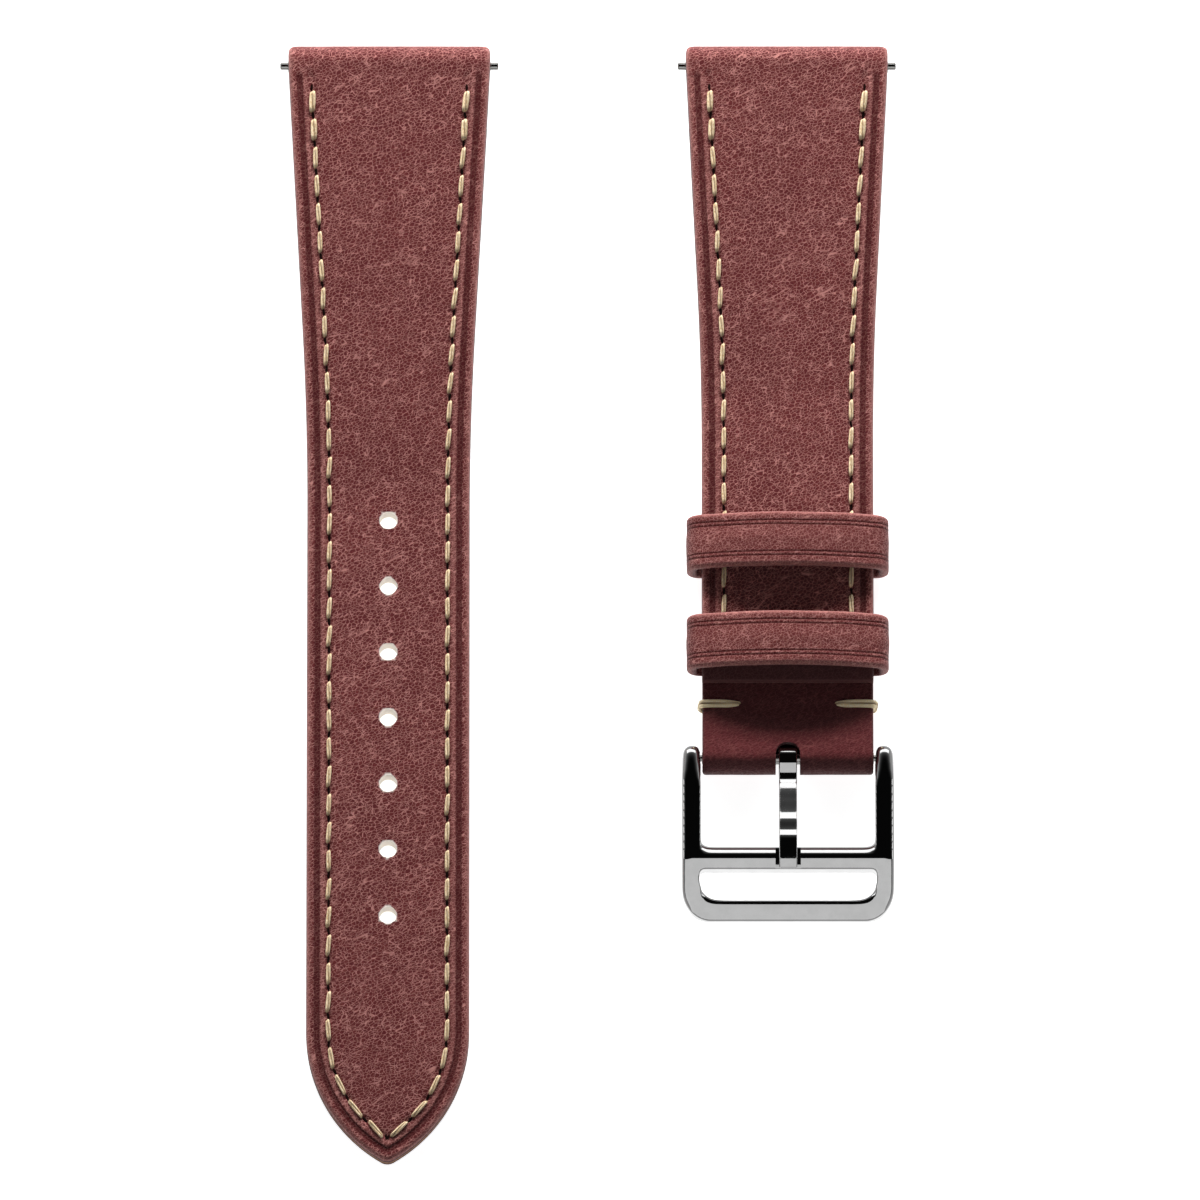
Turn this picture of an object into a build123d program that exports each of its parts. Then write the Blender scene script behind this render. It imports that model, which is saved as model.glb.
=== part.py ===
from build123d import *
import math
import os

# A two-piece leather watch strap with a pin buckle, laid out flat as a pair.
# X runs across the strap, Y along it with the lug ends at +Y, and z = 0 is the table.
# Each half is drawn in its own frame first: y = 0 is the lug bar's axis, the leather runs
# towards -Y, and z = 0 is the underside of its lining. All sizes are in millimetres.

# The pair on the table
HALF_SPACING = 39.5

# Outline of both halves
LUG_WIDTH = 20.0
LUG_CORNER_R = 0.8
SIDE_BEND_R = 335.0

# Tail half, the one with the holes
TAIL_LENGTH = 114.0
TAIL_WIDTH = 16.0
TAIL_NARROWING = 36.5
TAIL_TAPER = 44.0
OGIVE_R = 15.0
TIP_R = 1.2
HOLE_D = 1.7
HOLE_PITCH = 6.72
HOLE_COUNT = 7
LAST_HOLE_FROM_TIP = 24.9

# Short half, the one with the buckle
BAR_TO_BAR = 71.0
SHORT_WIDTH = 16.9
SHORT_NARROWING = 31.0
SHORT_TAPER = 34.0

# Leather and its fillings
UPPER_T = 1.1
LINING_T = 0.9
LOOP_SKIN_T = 0.9
LOOP_LINER_T = 0.3
LINER_LEG = 4.0
FLAP = 6.0
FILLER_SKIVE_T = 0.15

# Buckle tab: a strip folded round the buckle bar
TAB_T = 0.9
TAB_START_BEFORE_KEEPER = 3.55
TAB_RETURN_T = 0.7
TAB_RETURN_END_T = 0.4
TAB_RETURN_BEFORE_KEEPER = 2.05
TAB_BEND = 1.25
TAB_PINCH = 4.85
TAB_GLUED = 1.0
KEEPER_TUCK = 0.2
TAB_END_R = 0.5
UPPER_END_T = 0.4
UPPER_END_PAST_KEEPER = 1.05
UPPER_SKIVE = 3.0
TONGUE_SLOT_SIDE_GAP = 0.3
TONGUE_SLOT_REACH = 1.46
TONGUE_SLOT_R = 0.9

# Keepers: two leather loops
KEEPER_BAND = 5.5
KEEPER_T = 1.0
KEEPER_SIDE_GAP = 0.55
KEEPER_CROWN_R = 32.0
KEEPER_HEADROOM = 1.45
KEEPER_SHOULDER_R = 1.7
KEEPER_FOOT_R = 1.3
KEEPER_INNER_R = 0.5
FREE_KEEPER_GAP = 0.1
FIXED_BAND_T = 0.5
FIXED_KEEPER_FROM_BUCKLE = 11.3
KEEPER_SPACING = 10.2

# Spring bars: a tube with two sprung tips
BAR_PLAY = 0.05
LUG_TUBE_R = 0.75
LUG_TUBE_SETBACK = 1.5
LUG_PIN_R = 0.38
LUG_PIN_OUT = 0.85
LUG_FLANGE_OUT = 0.05
BUCKLE_TUBE_R = 0.65
BUCKLE_TUBE_SETBACK = 1.85
BUCKLE_PIN_R = 0.32
BUCKLE_FLANGE_SETBACK = 0.1
TUBE_WALL = 0.15
TUBE_LIP = 0.3
PIN_GAP = 0.05
FLANGE_T = 0.55
FLANGE_PROUD = 0.25
COLLAR_LENGTH = 0.5
PIN_CHAMFER = 0.1
WIRE_T = 0.16
COIL_TURNS = 9
SECTIONS_PER_TURN = 8

# Buckle frame: a window from the bar to the crossbar, then a slot in the sloping loop
BUCKLE_SIDE_GAP = 0.15
LEG_WIDTH = 1.9
EYE_R = 1.45
WINDOW_LENGTH = 9.35
CROSSBAR_WIDTH = 2.5
SLOT_LENGTH = 2.6
SLOT_OVERHANG = 0.15
END_BAR_WIDTH = 2.05
RIDGE_PAST_WINDOW = 1.45
RIDGE_RISE = 2.75
CROSSBAR_T = 1.65
CROSSBAR_FOOT_BACK = 0.8
FRAME_NOSE_R = 0.82
RIDGE_R = 0.3
WINDOW_R = 0.5
SLOT_NORTH_R = 0.8
SLOT_SOUTH_R = 1.8
FRAME_CORNER_R = 3.0
SOCKET_DEPTH = 1.3
NOTCH_WIDTH = 2.5
NOTCH_DEPTH = 0.55
NOTCH_RUN = 5.0

# Tongue, from its eye on the buckle bar to its tip in the frame's notch
TONGUE_WIDTH = 1.8
TONGUE_WALL = 0.45
TONGUE_T = 1.0
TONGUE_PAST_RIDGE = 1.0
TONGUE_TIP_R = 0.4
TONGUE_SEAT_GAP = 0.05
TONGUE_SEAT_BACK = 0.25
TONGUE_LEAVES_AT = 35.0
TONGUE_TIP_WAY = (-1.0, -0.35)
TONGUE_TOP_SHARES = (
    (0.0, 0.0), (0.12, -0.03), (0.2, -0.2), (0.33, -0.26), (0.5, 0.06),
    (0.68, 0.6), (0.8, 0.92), (0.9, 1.0), (1.0, 0.9),
)

# Stitching
STITCH_INSET = 2.15
STITCH_LENGTH = 2.1
STITCH_PITCH = 2.87
STITCH_W = 0.42
STITCH_H = 0.22
FIRST_STITCH_AT = 2.2
TACK_LENGTH = 3.4
TACK_W = 0.5

# One overrun for all cuts
OVER = 1.0

FIXED_KEEPER_AT = BAR_TO_BAR - FIXED_KEEPER_FROM_BUCKLE
FREE_KEEPER_AT = FIXED_KEEPER_AT - KEEPER_SPACING
KEEPER_WIDTH = SHORT_WIDTH + 2 * (KEEPER_SIDE_GAP + KEEPER_T)
WINDOW_WIDTH = SHORT_WIDTH + 2 * BUCKLE_SIDE_GAP
FRAME_WIDTH = WINDOW_WIDTH + 2 * LEG_WIDTH
SLOT_WIDTH = WINDOW_WIDTH + 2 * SLOT_OVERHANG
SLOT_START = WINDOW_LENGTH + CROSSBAR_WIDTH
SLOT_END = SLOT_START + SLOT_LENGTH
FRAME_REACH = SLOT_END + END_BAR_WIDTH
RIDGE_AT = WINDOW_LENGTH + RIDGE_PAST_WINDOW
TONGUE_REACH = RIDGE_AT + TONGUE_PAST_RIDGE
LUG_TUNNEL_R = LUG_TUBE_R + BAR_PLAY
LOOP_BORE_R = LUG_TUNNEL_R + LOOP_LINER_T
LOOP_R = LOOP_BORE_R + LOOP_SKIN_T
STRAP_T = UPPER_T + LINING_T
BUCKLE_TUNNEL_R = BUCKLE_TUBE_R + BAR_PLAY + BAR_PLAY
TAB_LOOP_R = BUCKLE_TUNNEL_R + TAB_T
LUG_BAR_Y = TAIL_LENGTH / 2 - LOOP_R
TIP_Y = LOOP_R - TAIL_LENGTH
TONGUE_SLOT_WIDTH = TONGUE_WIDTH + 2 * TONGUE_SLOT_SIDE_GAP

# The short half leans on its lug loop and its buckle loop, so it lies a little tilted
LOOP_TO_BAR = math.hypot(BAR_TO_BAR, LOOP_R)
LEAN = math.asin((LOOP_R - TAB_LOOP_R) / LOOP_TO_BAR)
TILT = math.degrees(math.atan2(LOOP_R, BAR_TO_BAR) - LEAN)
TAIL_PLACE = Pos(-HALF_SPACING / 2, LUG_BAR_Y, 0)
SHORT_PLACE = Pos(HALF_SPACING / 2, LUG_BAR_Y, LOOP_R) * Rot(-TILT, 0, 0) * Pos(0, 0, -LOOP_R)
BUCKLE_BAR = (SHORT_PLACE * Pos(0, -BAR_TO_BAR, 0)).position
BUCKLE_PLACE = Pos(*BUCKLE_BAR)


def touch(point, centre, radius, side):
    """Where the line from a point touches a circle, on its left (+1) or its right (-1)."""
    way = Vector(centre[0] - point[0], centre[1] - point[1])
    turn = math.atan2(way.Y, way.X) + side * math.asin(radius / way.length)
    run = math.sqrt(way.length**2 - radius**2)
    return (point[0] + run * math.cos(turn), point[1] + run * math.sin(turn))


def outline(*points):
    return make_face(Polyline(*points, close=True))


def disc(centre, radius):
    return Pos(*centre) * Circle(radius)


def box_between(x0, x1, y0, y1):
    return Pos((x0 + x1) / 2, (y0 + y1) / 2) * Rectangle(x1 - x0, y1 - y0)


def round_corners(face, radius, *points):
    """Rounds the corners of a face that lie at the given points."""
    near = [face.vertices().sort_by_distance(Vector(*p))[0] for p in points]
    return fillet(near, radius)


def across(profile, width):
    """Stretches a side view, drawn in Y and Z, across the strap."""
    return extrude(Plane.YZ * profile, width / 2, both=True)


def rod(radius, x0, x1):
    """A round bar along X."""
    return Pos(min(x0, x1), 0, 0) * extrude(Plane.YZ * Circle(radius), abs(x1 - x0))


def plan_of(width, narrowing, end):
    """The strap seen from above, up to a square end: wide at the lugs, then straight."""
    wide = LUG_WIDTH / 2
    slim = width / 2
    right = [(wide, LOOP_R), (wide, 0), (slim, -narrowing), (slim, end)]
    left = [(-x, y) for x, y in reversed(right)]
    face = outline(*right, *left)
    face = round_corners(face, SIDE_BEND_R, right[2], left[1])
    return round_corners(face, LUG_CORNER_R, right[0], left[3])


def tail_plan():
    slim = TAIL_WIDTH / 2
    inset = OGIVE_R - slim
    start = TIP_Y + TIP_R + math.sqrt((OGIVE_R - TIP_R) ** 2 - inset**2)
    sweep_angle = math.degrees(math.acos(inset / OGIVE_R))
    right = CenterArc((-inset, start), OGIVE_R, 0, -sweep_angle)
    left = CenterArc((inset, start), OGIVE_R, 180, sweep_angle)
    point = make_face([right, left, Line((-slim, start), (slim, start))])
    face = plan_of(TAIL_WIDTH, TAIL_NARROWING, start) + point
    return round_corners(face, TIP_R, (0, start - OGIVE_R * math.sin(math.radians(sweep_angle))))


def wall(plan):
    """A tall prism on a plan, to cut the layers to the strap's outline."""
    return extrude(plan, LUG_WIDTH, both=True)


def strap_side_views(taper, end):
    """Side views of the layers that both halves share, from the lug bar to y = end."""
    centre = (0, LOOP_R)
    top = touch((-taper, STRAP_T), centre, LOOP_R, 1)
    whole = outline((end, 0), (0, 0), centre, top, (-taper, STRAP_T), (end, STRAP_T))
    whole += disc(centre, LOOP_R)

    feather = (-taper, LINING_T + FILLER_SKIVE_T)
    inner_top = touch(feather, centre, LOOP_BORE_R, 1)
    core = outline(
        (-taper, LINING_T), (-FLAP, LINING_T), (0, LOOP_SKIN_T), centre, inner_top, feather
    )
    core += disc(centre, LOOP_BORE_R)

    slope = (inner_top[1] - feather[1]) / (inner_top[0] - feather[0])
    nose_top = LOOP_R + LUG_TUNNEL_R
    nose_foot = LOOP_R - LUG_TUNNEL_R
    nose = outline(
        (0, nose_foot), (0, nose_top), (-LINER_LEG, nose_top - LINER_LEG * slope),
        (-LINER_LEG, nose_foot),
    )
    tunnel = disc(centre, LUG_TUNNEL_R)
    folded = box_between(-LINER_LEG, LOOP_R, 0, 2 * LOOP_R)
    liner = (core & folded) - nose - tunnel
    filler = core - liner - tunnel
    upper = whole - core - box_between(end, -FLAP, 0, LINING_T)
    return upper, filler, liner


def stitch(length, thread_w):
    """One stitch lying along Y, its flat side down."""
    half = thread_w / 2
    body = outline((-half, 0), (half, 0), (half / 2, STITCH_H), (-half / 2, STITCH_H))
    return extrude(Plane.XZ * body, length / 2, both=True)


def stitches(path, height_at):
    """Stitches along a path from its start, standing on the leather."""
    row = []
    for i in range(int((path.length - STITCH_LENGTH) / STITCH_PITCH) + 1):
        here = (STITCH_LENGTH / 2 + i * STITCH_PITCH) / path.length
        at = path.position_at(here)
        way = path.tangent_at(here)
        ahead = at + way * (STITCH_LENGTH / 2)
        behind = at - way * (STITCH_LENGTH / 2)
        z = (height_at(ahead.Y) + height_at(behind.Y)) / 2
        climb = Vector(way.X, way.Y, (height_at(ahead.Y) - height_at(behind.Y)) / STITCH_LENGTH)
        up = Vector(0, 0, 1) - climb.normalized() * climb.normalized().Z
        place = Plane(origin=(at.X, at.Y, z), x_dir=climb.cross(up), z_dir=up)
        row.append(place * stitch(STITCH_LENGTH, STITCH_W))
    return row


def top_height(taper):
    """How high the leather's top lies at a place along the half."""
    top = touch((-taper, STRAP_T), (0, LOOP_R), LOOP_R, 1)
    slope = (top[1] - STRAP_T) / (top[0] + taper)
    return lambda y: STRAP_T + max(0.0, y + taper) * slope


def coil(run, radius):
    """A spring along X, lofted through square sections of its wire."""
    helix = Pos(-run / 2, 0, 0) * Helix(run / COIL_TURNS, run, radius, direction=(1, 0, 0))
    steps = COIL_TURNS * SECTIONS_PER_TURN
    sections = []
    for i in range(steps + 1):
        at = helix.position_at(i / steps)
        square = Plane(origin=at, x_dir=(0, at.Y, at.Z), z_dir=helix.tangent_at(i / steps))
        sections.append(square * Rectangle(WIRE_T, WIRE_T))
    middles = [section.center() for section in sections]
    next_turn = zip(middles, middles[SECTIONS_PER_TURN:])
    print("least gap between turns", round(min((b - a).length for a, b in next_turn) - WIRE_T, 3))
    return loft(sections, ruled=True)


def spring_bar(tube_r, tube_half, pin_r, flange_at, reach):
    """A spring bar on the X axis: tube, coil and the right-hand tip."""
    bore_r = tube_r - TUBE_WALL
    collar_r = bore_r - PIN_GAP
    lip_at = tube_half - TUBE_LIP
    tube = rod(tube_r, -tube_half, tube_half) - rod(bore_r, -lip_at, lip_at)
    tube -= rod(pin_r + PIN_GAP, -tube_half - OVER, tube_half + OVER)

    collar_end = lip_at - COLLAR_LENGTH
    flange_r = pin_r + FLANGE_PROUD
    tip = outline(
        (collar_end, 0), (collar_end, collar_r), (lip_at, collar_r), (lip_at, pin_r),
        (flange_at - FLANGE_T, pin_r), (flange_at - FLANGE_T, flange_r), (flange_at, flange_r),
        (flange_at, pin_r), (reach - PIN_CHAMFER, pin_r), (reach, pin_r - PIN_CHAMFER), (reach, 0),
    )
    return tube, coil(2 * collar_end - WIRE_T, collar_r - WIRE_T / 2), revolve(tip, Axis.X)


def lug_bar():
    half = LUG_WIDTH / 2
    return spring_bar(
        LUG_TUBE_R, half - LUG_TUBE_SETBACK, LUG_PIN_R,
        half + LUG_FLANGE_OUT, half + LUG_PIN_OUT,
    )


def buckle_bar():
    half = WINDOW_WIDTH / 2
    return spring_bar(
        BUCKLE_TUBE_R, half - BUCKLE_TUBE_SETBACK, BUCKLE_PIN_R,
        half - BUCKLE_FLANGE_SETBACK, half + SOCKET_DEPTH - 2 * PIN_GAP,
    )


def keeper(inner_foot, foot_t, top_z):
    """A leather loop as a band along Y, its crown at top_z."""
    half = KEEPER_WIDTH / 2

    def ring(half_w, foot_z, crown_z, crown_r, shoulder_r, foot_r):
        side_top = crown_z - crown_r + math.sqrt(crown_r**2 - half_w**2)
        crown = ThreePointArc((half_w, side_top), (0, crown_z), (-half_w, side_top))
        rest = Polyline(
            (-half_w, side_top), (-half_w, foot_z), (half_w, foot_z), (half_w, side_top)
        )
        face = make_face([crown, *rest.edges()])
        face = round_corners(face, shoulder_r, (half_w, side_top), (-half_w, side_top))
        return round_corners(face, foot_r, (half_w, foot_z), (-half_w, foot_z))

    outside = ring(
        half, inner_foot - foot_t, top_z, KEEPER_CROWN_R, KEEPER_SHOULDER_R, KEEPER_FOOT_R
    )
    inside = ring(
        half - KEEPER_T, inner_foot, top_z - KEEPER_T, KEEPER_CROWN_R - KEEPER_T,
        KEEPER_SHOULDER_R - KEEPER_T, KEEPER_INNER_R,
    )
    return extrude(Plane.XZ * (outside - inside), KEEPER_BAND / 2, both=True)


def frame():
    """The buckle frame round the bar's axis, its far end towards -Y and resting on the table."""
    nose = (-(FRAME_REACH - FRAME_NOSE_R), FRAME_NOSE_R - TAB_LOOP_R)
    ridge = (-RIDGE_AT, RIDGE_RISE)
    foot = (-(RIDGE_AT - CROSSBAR_FOOT_BACK), RIDGE_RISE - CROSSBAR_T)
    eye = (0, 0)
    side = outline(touch(ridge, eye, EYE_R, 1), ridge, foot, touch(foot, eye, EYE_R, -1), eye)
    side += disc(eye, EYE_R)
    side += outline(
        ridge, touch(ridge, nose, FRAME_NOSE_R, -1), nose, touch(foot, nose, FRAME_NOSE_R, 1), foot
    )
    side += disc(nose, FRAME_NOSE_R)
    side = round_corners(side, RIDGE_R, ridge)

    half = FRAME_WIDTH / 2
    plan = box_between(-half, half, -FRAME_REACH, EYE_R)
    plan = round_corners(plan, FRAME_CORNER_R, (half, -FRAME_REACH), (-half, -FRAME_REACH))
    gap = WINDOW_WIDTH / 2
    window = box_between(-gap, gap, -WINDOW_LENGTH, EYE_R + OVER)
    window = round_corners(window, WINDOW_R, (gap, -WINDOW_LENGTH), (-gap, -WINDOW_LENGTH))
    gap = SLOT_WIDTH / 2
    slot = box_between(-gap, gap, -SLOT_END, -SLOT_START)
    slot = round_corners(slot, SLOT_SOUTH_R, (gap, -SLOT_END), (-gap, -SLOT_END))
    slot = round_corners(slot, SLOT_NORTH_R, (gap, -SLOT_START), (-gap, -SLOT_START))
    body = across(side, FRAME_WIDTH) & extrude(plan - window - slot, FRAME_WIDTH, both=True)

    socket = rod(BUCKLE_PIN_R + PIN_GAP, 0, WINDOW_WIDTH / 2 + SOCKET_DEPTH)
    notch_floor = RIDGE_RISE - NOTCH_DEPTH
    notch = Pos(0, -RIDGE_AT, notch_floor + OVER / 2) * Box(NOTCH_WIDTH, NOTCH_RUN, OVER)
    return body - socket - mirror(socket, Plane.YZ) - notch


def tongue():
    """The buckle tongue: an eye round the bar and a wavy prong that ends in the frame's notch."""
    eye_r = BUCKLE_TUBE_R + BAR_PLAY + TONGUE_WALL
    seat = RIDGE_RISE - NOTCH_DEPTH + TONGUE_SEAT_GAP
    climb = seat + TONGUE_T - eye_r
    top = [(-run * TONGUE_REACH, eye_r + rise * climb) for run, rise in TONGUE_TOP_SHARES]
    under = [(y, z - TONGUE_T) for y, z in top[2:5]]
    leave = Vector(-eye_r, 0).rotate(Axis.Z, TONGUE_LEAVES_AT)
    heel = (TONGUE_SEAT_BACK - WINDOW_LENGTH, seat)
    tip = (-TONGUE_REACH, seat)
    side = make_face([
        Spline((0, eye_r), *top[1:], tangents=((-1, 0), TONGUE_TIP_WAY)),
        Line(top[-1], tip),
        Line(tip, heel),
        Spline(heel, *reversed(under), (leave.X, leave.Y)),
        Line((leave.X, leave.Y), (0, 0)),
        Line((0, 0), (0, eye_r)),
    ])
    side = round_corners(side, TONGUE_TIP_R, top[-1])
    side += disc((0, 0), eye_r)
    side -= disc((0, 0), BUCKLE_TUBE_R + BAR_PLAY)
    return across(side, TONGUE_WIDTH)


def stitch_row(width, narrowing, end):
    """The right-hand row of stitches down to y = end, before any point."""
    slim = width / 2 - STITCH_INSET
    wide = LUG_WIDTH / 2 - STITCH_INSET
    lean = (wide - slim) / narrowing
    start = (wide - lean * FIRST_STITCH_AT, -FIRST_STITCH_AT)
    return FilletPolyline(start, (slim, -narrowing), (slim, end), radius=SIDE_BEND_R)


def tail_rows():
    inset = OGIVE_R - TAIL_WIDTH / 2
    start = TIP_Y + TIP_R + math.sqrt((OGIVE_R - TIP_R) ** 2 - inset**2)
    row_r = OGIVE_R - STITCH_INSET
    point = CenterArc((-inset, start), row_r, 0, -math.degrees(math.acos(inset / row_r)))
    path = Wire([*stitch_row(TAIL_WIDTH, TAIL_NARROWING, start).edges(), point])
    return stitches(path, top_height(TAIL_TAPER))


def both_sides(solids):
    return [*solids, *(mirror(s, Plane.YZ) for s in solids)]


def tail_half():
    """Every piece of the tail half, in its own frame."""
    cut = wall(tail_plan())
    upper, filler, liner = strap_side_views(TAIL_TAPER, TIP_Y)
    lining = box_between(TIP_Y, -FLAP, 0, LINING_T)
    holes = [
        Pos(0, TIP_Y + LAST_HOLE_FROM_TIP + i * HOLE_PITCH, 0)
        * Cylinder(HOLE_D / 2, LUG_WIDTH)
        for i in range(HOLE_COUNT)
    ]
    return {
        "tail_upper": (across(upper, LUG_WIDTH) & cut) - holes,
        "tail_lining": (across(lining, LUG_WIDTH) & cut) - holes,
        "tail_filler": across(filler, LUG_WIDTH) & cut,
        "tail_loop_liner": across(liner, LUG_WIDTH) & cut,
        "tail_stitching": both_sides(tail_rows()),
    }


def tab_side_view(start):
    """The buckle tab from the side: over the bar, then back under the fixed keeper's foot."""
    bar = (-BAR_TO_BAR, 0)
    pinch = TAB_PINCH - BAR_TO_BAR
    glued = pinch + TAB_GLUED
    over = outline(
        (start, 0), (start, TAB_T), (pinch, TAB_T), touch((pinch, TAB_T), bar, TAB_LOOP_R, -1),
        bar, touch((pinch, -TAB_T), bar, TAB_LOOP_R, 1), (pinch, -TAB_T), (glued, -TAB_T),
        (glued, 0),
    )
    over += disc(bar, TAB_LOOP_R)
    apex = (pinch, 0)
    over -= outline(
        apex, touch(apex, bar, BUCKLE_TUNNEL_R, -1), bar, touch(apex, bar, BUCKLE_TUNNEL_R, 1)
    )
    over -= disc(bar, BUCKLE_TUNNEL_R)
    south = -(FIXED_KEEPER_AT + KEEPER_BAND / 2 + KEEPER_TUCK)
    north = -(FIXED_KEEPER_AT - KEEPER_BAND / 2 - KEEPER_TUCK)
    home = north + TAB_BEND
    end = TAB_RETURN_BEFORE_KEEPER - (FIXED_KEEPER_AT - KEEPER_BAND / 2)
    under = outline(
        (glued, 0), (south, -FIXED_BAND_T), (north, -FIXED_BAND_T), (home, 0), (end, 0),
        (end, -TAB_RETURN_END_T), (home, -TAB_RETURN_T), (north, -FIXED_BAND_T - TAB_RETURN_T),
        (south, -FIXED_BAND_T - TAB_RETURN_T), (glued, -TAB_T),
    )
    return over + under


def bar_tack(leather):
    """One tack: thread wrapped round the tab's edge, on the right."""
    edge = SHORT_WIDTH / 2
    middle = TAB_PINCH + TAB_GLUED / 2 - BAR_TO_BAR
    loop = Box(TACK_LENGTH + STITCH_H, TACK_W, 2 * (TAB_T + STITCH_H))
    return Pos(edge + STITCH_H - (TACK_LENGTH + STITCH_H) / 2, middle, 0) * loop - leather


def short_half():
    """Every piece of the short half except the buckle and the free keeper, in its own frame."""
    end = -(BAR_TO_BAR + TAB_LOOP_R)
    half = SHORT_WIDTH / 2
    plan = plan_of(SHORT_WIDTH, SHORT_NARROWING, end)
    cut = wall(round_corners(plan, TAB_END_R, (half, end), (-half, end)))
    upper_end = -(FIXED_KEEPER_AT + KEEPER_BAND / 2 + UPPER_END_PAST_KEEPER)
    tab_start = TAB_START_BEFORE_KEEPER - (FIXED_KEEPER_AT - KEEPER_BAND / 2)
    upper, filler, liner = strap_side_views(SHORT_TAPER, upper_end)
    upper += box_between(upper_end, tab_start, 0, LINING_T)
    upper -= box_between(upper_end, tab_start, 0, TAB_T)
    upper -= outline(
        (upper_end, TAB_T + UPPER_END_T), (upper_end + UPPER_SKIVE, STRAP_T),
        (upper_end, STRAP_T),
    )
    lining = box_between(tab_start, -FLAP, 0, LINING_T)

    slot_half = TONGUE_SLOT_WIDTH / 2
    slot_top = TONGUE_SLOT_REACH - BAR_TO_BAR
    slot = box_between(-slot_half, slot_half, end - OVER, slot_top)
    slot = round_corners(slot, TONGUE_SLOT_R, (slot_half, slot_top), (-slot_half, slot_top))
    tab = (across(tab_side_view(tab_start), LUG_WIDTH) & cut) - wall(slot)
    row = stitch_row(SHORT_WIDTH, SHORT_NARROWING, tab_start - STITCH_PITCH)
    crown = STRAP_T + KEEPER_HEADROOM + KEEPER_T
    return {
        "short_upper": across(upper, LUG_WIDTH) & cut,
        "short_lining": across(lining, LUG_WIDTH) & cut,
        "short_filler": across(filler, LUG_WIDTH) & cut,
        "short_loop_liner": across(liner, LUG_WIDTH) & cut,
        "short_stitching": both_sides(stitches(row, top_height(SHORT_TAPER))),
        "buckle_tab": tab,
        "tab_bar_tacks": both_sides([bar_tack(tab)]),
        "fixed_keeper": Pos(0, -FIXED_KEEPER_AT, 0) * keeper(0, FIXED_BAND_T, crown),
    }


def free_keeper():
    crown = STRAP_T + KEEPER_HEADROOM + KEEPER_T
    return Pos(0, -FREE_KEEPER_AT, 0) * keeper(-FREE_KEEPER_GAP, KEEPER_T, crown)


def bar_nodes(name, place, bar):
    tube, spring, tip = bar
    return {
        f"{name}_tube": place * tube,
        f"{name}_spring": place * spring,
        f"{name}_tip_right": place * tip,
        f"{name}_tip_left": place * mirror(tip, Plane.YZ),
    }


def put(place, solids):
    if isinstance(solids, list):
        return Compound(children=[place * s for s in solids])
    return place * solids


AT_LUG_BAR = Pos(0, 0, LOOP_R)
LUG_BAR = lug_bar()
nodes = {name: put(TAIL_PLACE, piece) for name, piece in tail_half().items()}
nodes.update(bar_nodes("tail_bar", TAIL_PLACE * AT_LUG_BAR, LUG_BAR))
nodes.update({name: put(SHORT_PLACE, piece) for name, piece in short_half().items()})
nodes.update(bar_nodes("short_bar", SHORT_PLACE * AT_LUG_BAR, LUG_BAR))
nodes["free_keeper"] = SHORT_PLACE * free_keeper()
nodes.update(bar_nodes("buckle_bar", BUCKLE_PLACE, buckle_bar()))
nodes["buckle_frame"] = BUCKLE_PLACE * frame()
nodes["buckle_tongue"] = BUCKLE_PLACE * tongue()

os.makedirs("parts", exist_ok=True)
for name, piece in nodes.items():
    export_step(piece, f"parts/{name}.step")
    print(name, len(piece.solids()), round(piece.volume, 3))

print("tilt of the short half", round(TILT, 6))
print("lug bar, short half", SHORT_PLACE * Pos(0, 0, LOOP_R))
print("buckle bar", BUCKLE_BAR)
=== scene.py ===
# %% [markdown]
# # A leather watch strap, laid out flat as a pair
#
# On the left lies the punched tail half, on the right the short half with its two keepers and
# the polished pin buckle. The CAD model gives every size and every joint. This lesson dresses it:
# leather that is rolled, creased and sewn, thread with a twist in it, and steel with soft edges.
# The first cell loads the CAD model as a fixed frame.

import math

import bmesh
import bpy
import numpy as np
from mathutils import Matrix, Vector, noise


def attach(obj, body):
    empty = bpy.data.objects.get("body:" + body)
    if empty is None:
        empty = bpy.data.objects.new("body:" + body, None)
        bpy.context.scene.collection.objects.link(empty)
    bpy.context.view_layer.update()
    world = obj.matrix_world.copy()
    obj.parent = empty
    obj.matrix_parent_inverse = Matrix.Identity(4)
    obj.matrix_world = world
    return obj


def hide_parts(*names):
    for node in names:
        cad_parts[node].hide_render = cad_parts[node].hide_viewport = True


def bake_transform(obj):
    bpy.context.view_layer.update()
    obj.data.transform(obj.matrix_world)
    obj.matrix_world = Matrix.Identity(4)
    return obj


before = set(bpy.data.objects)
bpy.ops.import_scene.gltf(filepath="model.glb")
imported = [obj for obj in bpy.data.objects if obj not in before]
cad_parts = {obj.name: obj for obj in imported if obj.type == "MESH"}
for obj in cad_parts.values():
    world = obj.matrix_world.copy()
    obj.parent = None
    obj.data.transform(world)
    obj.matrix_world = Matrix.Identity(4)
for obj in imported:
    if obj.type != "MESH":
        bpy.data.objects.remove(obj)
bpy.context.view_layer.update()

# %% [markdown]
# ## The camera
#
# The photograph was taken from about 75 degrees above the table with a long lens, so that
# the two halves stay parallel. A camera three metres away with a very long lens does the same.
# It could be orthographic, but a real lens keeps a trace of depth in the other views.

# %% Set up the long lens
MM = 0.001
CAMERA_HEIGHT_ANGLE = math.radians(75)
CAMERA_DISTANCE = 3.0
VIEW_WIDTH = 118.8 * MM
SENSOR_WIDTH = 36.0
LOOK_AT = Vector((1.188 * MM, 0.62 * MM, 0))


def add_object(name, data):
    """Links a new object that shows a mesh, a lamp or a camera."""
    made = bpy.data.objects.new(name, data)
    bpy.context.scene.collection.objects.link(made)
    return made


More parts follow.
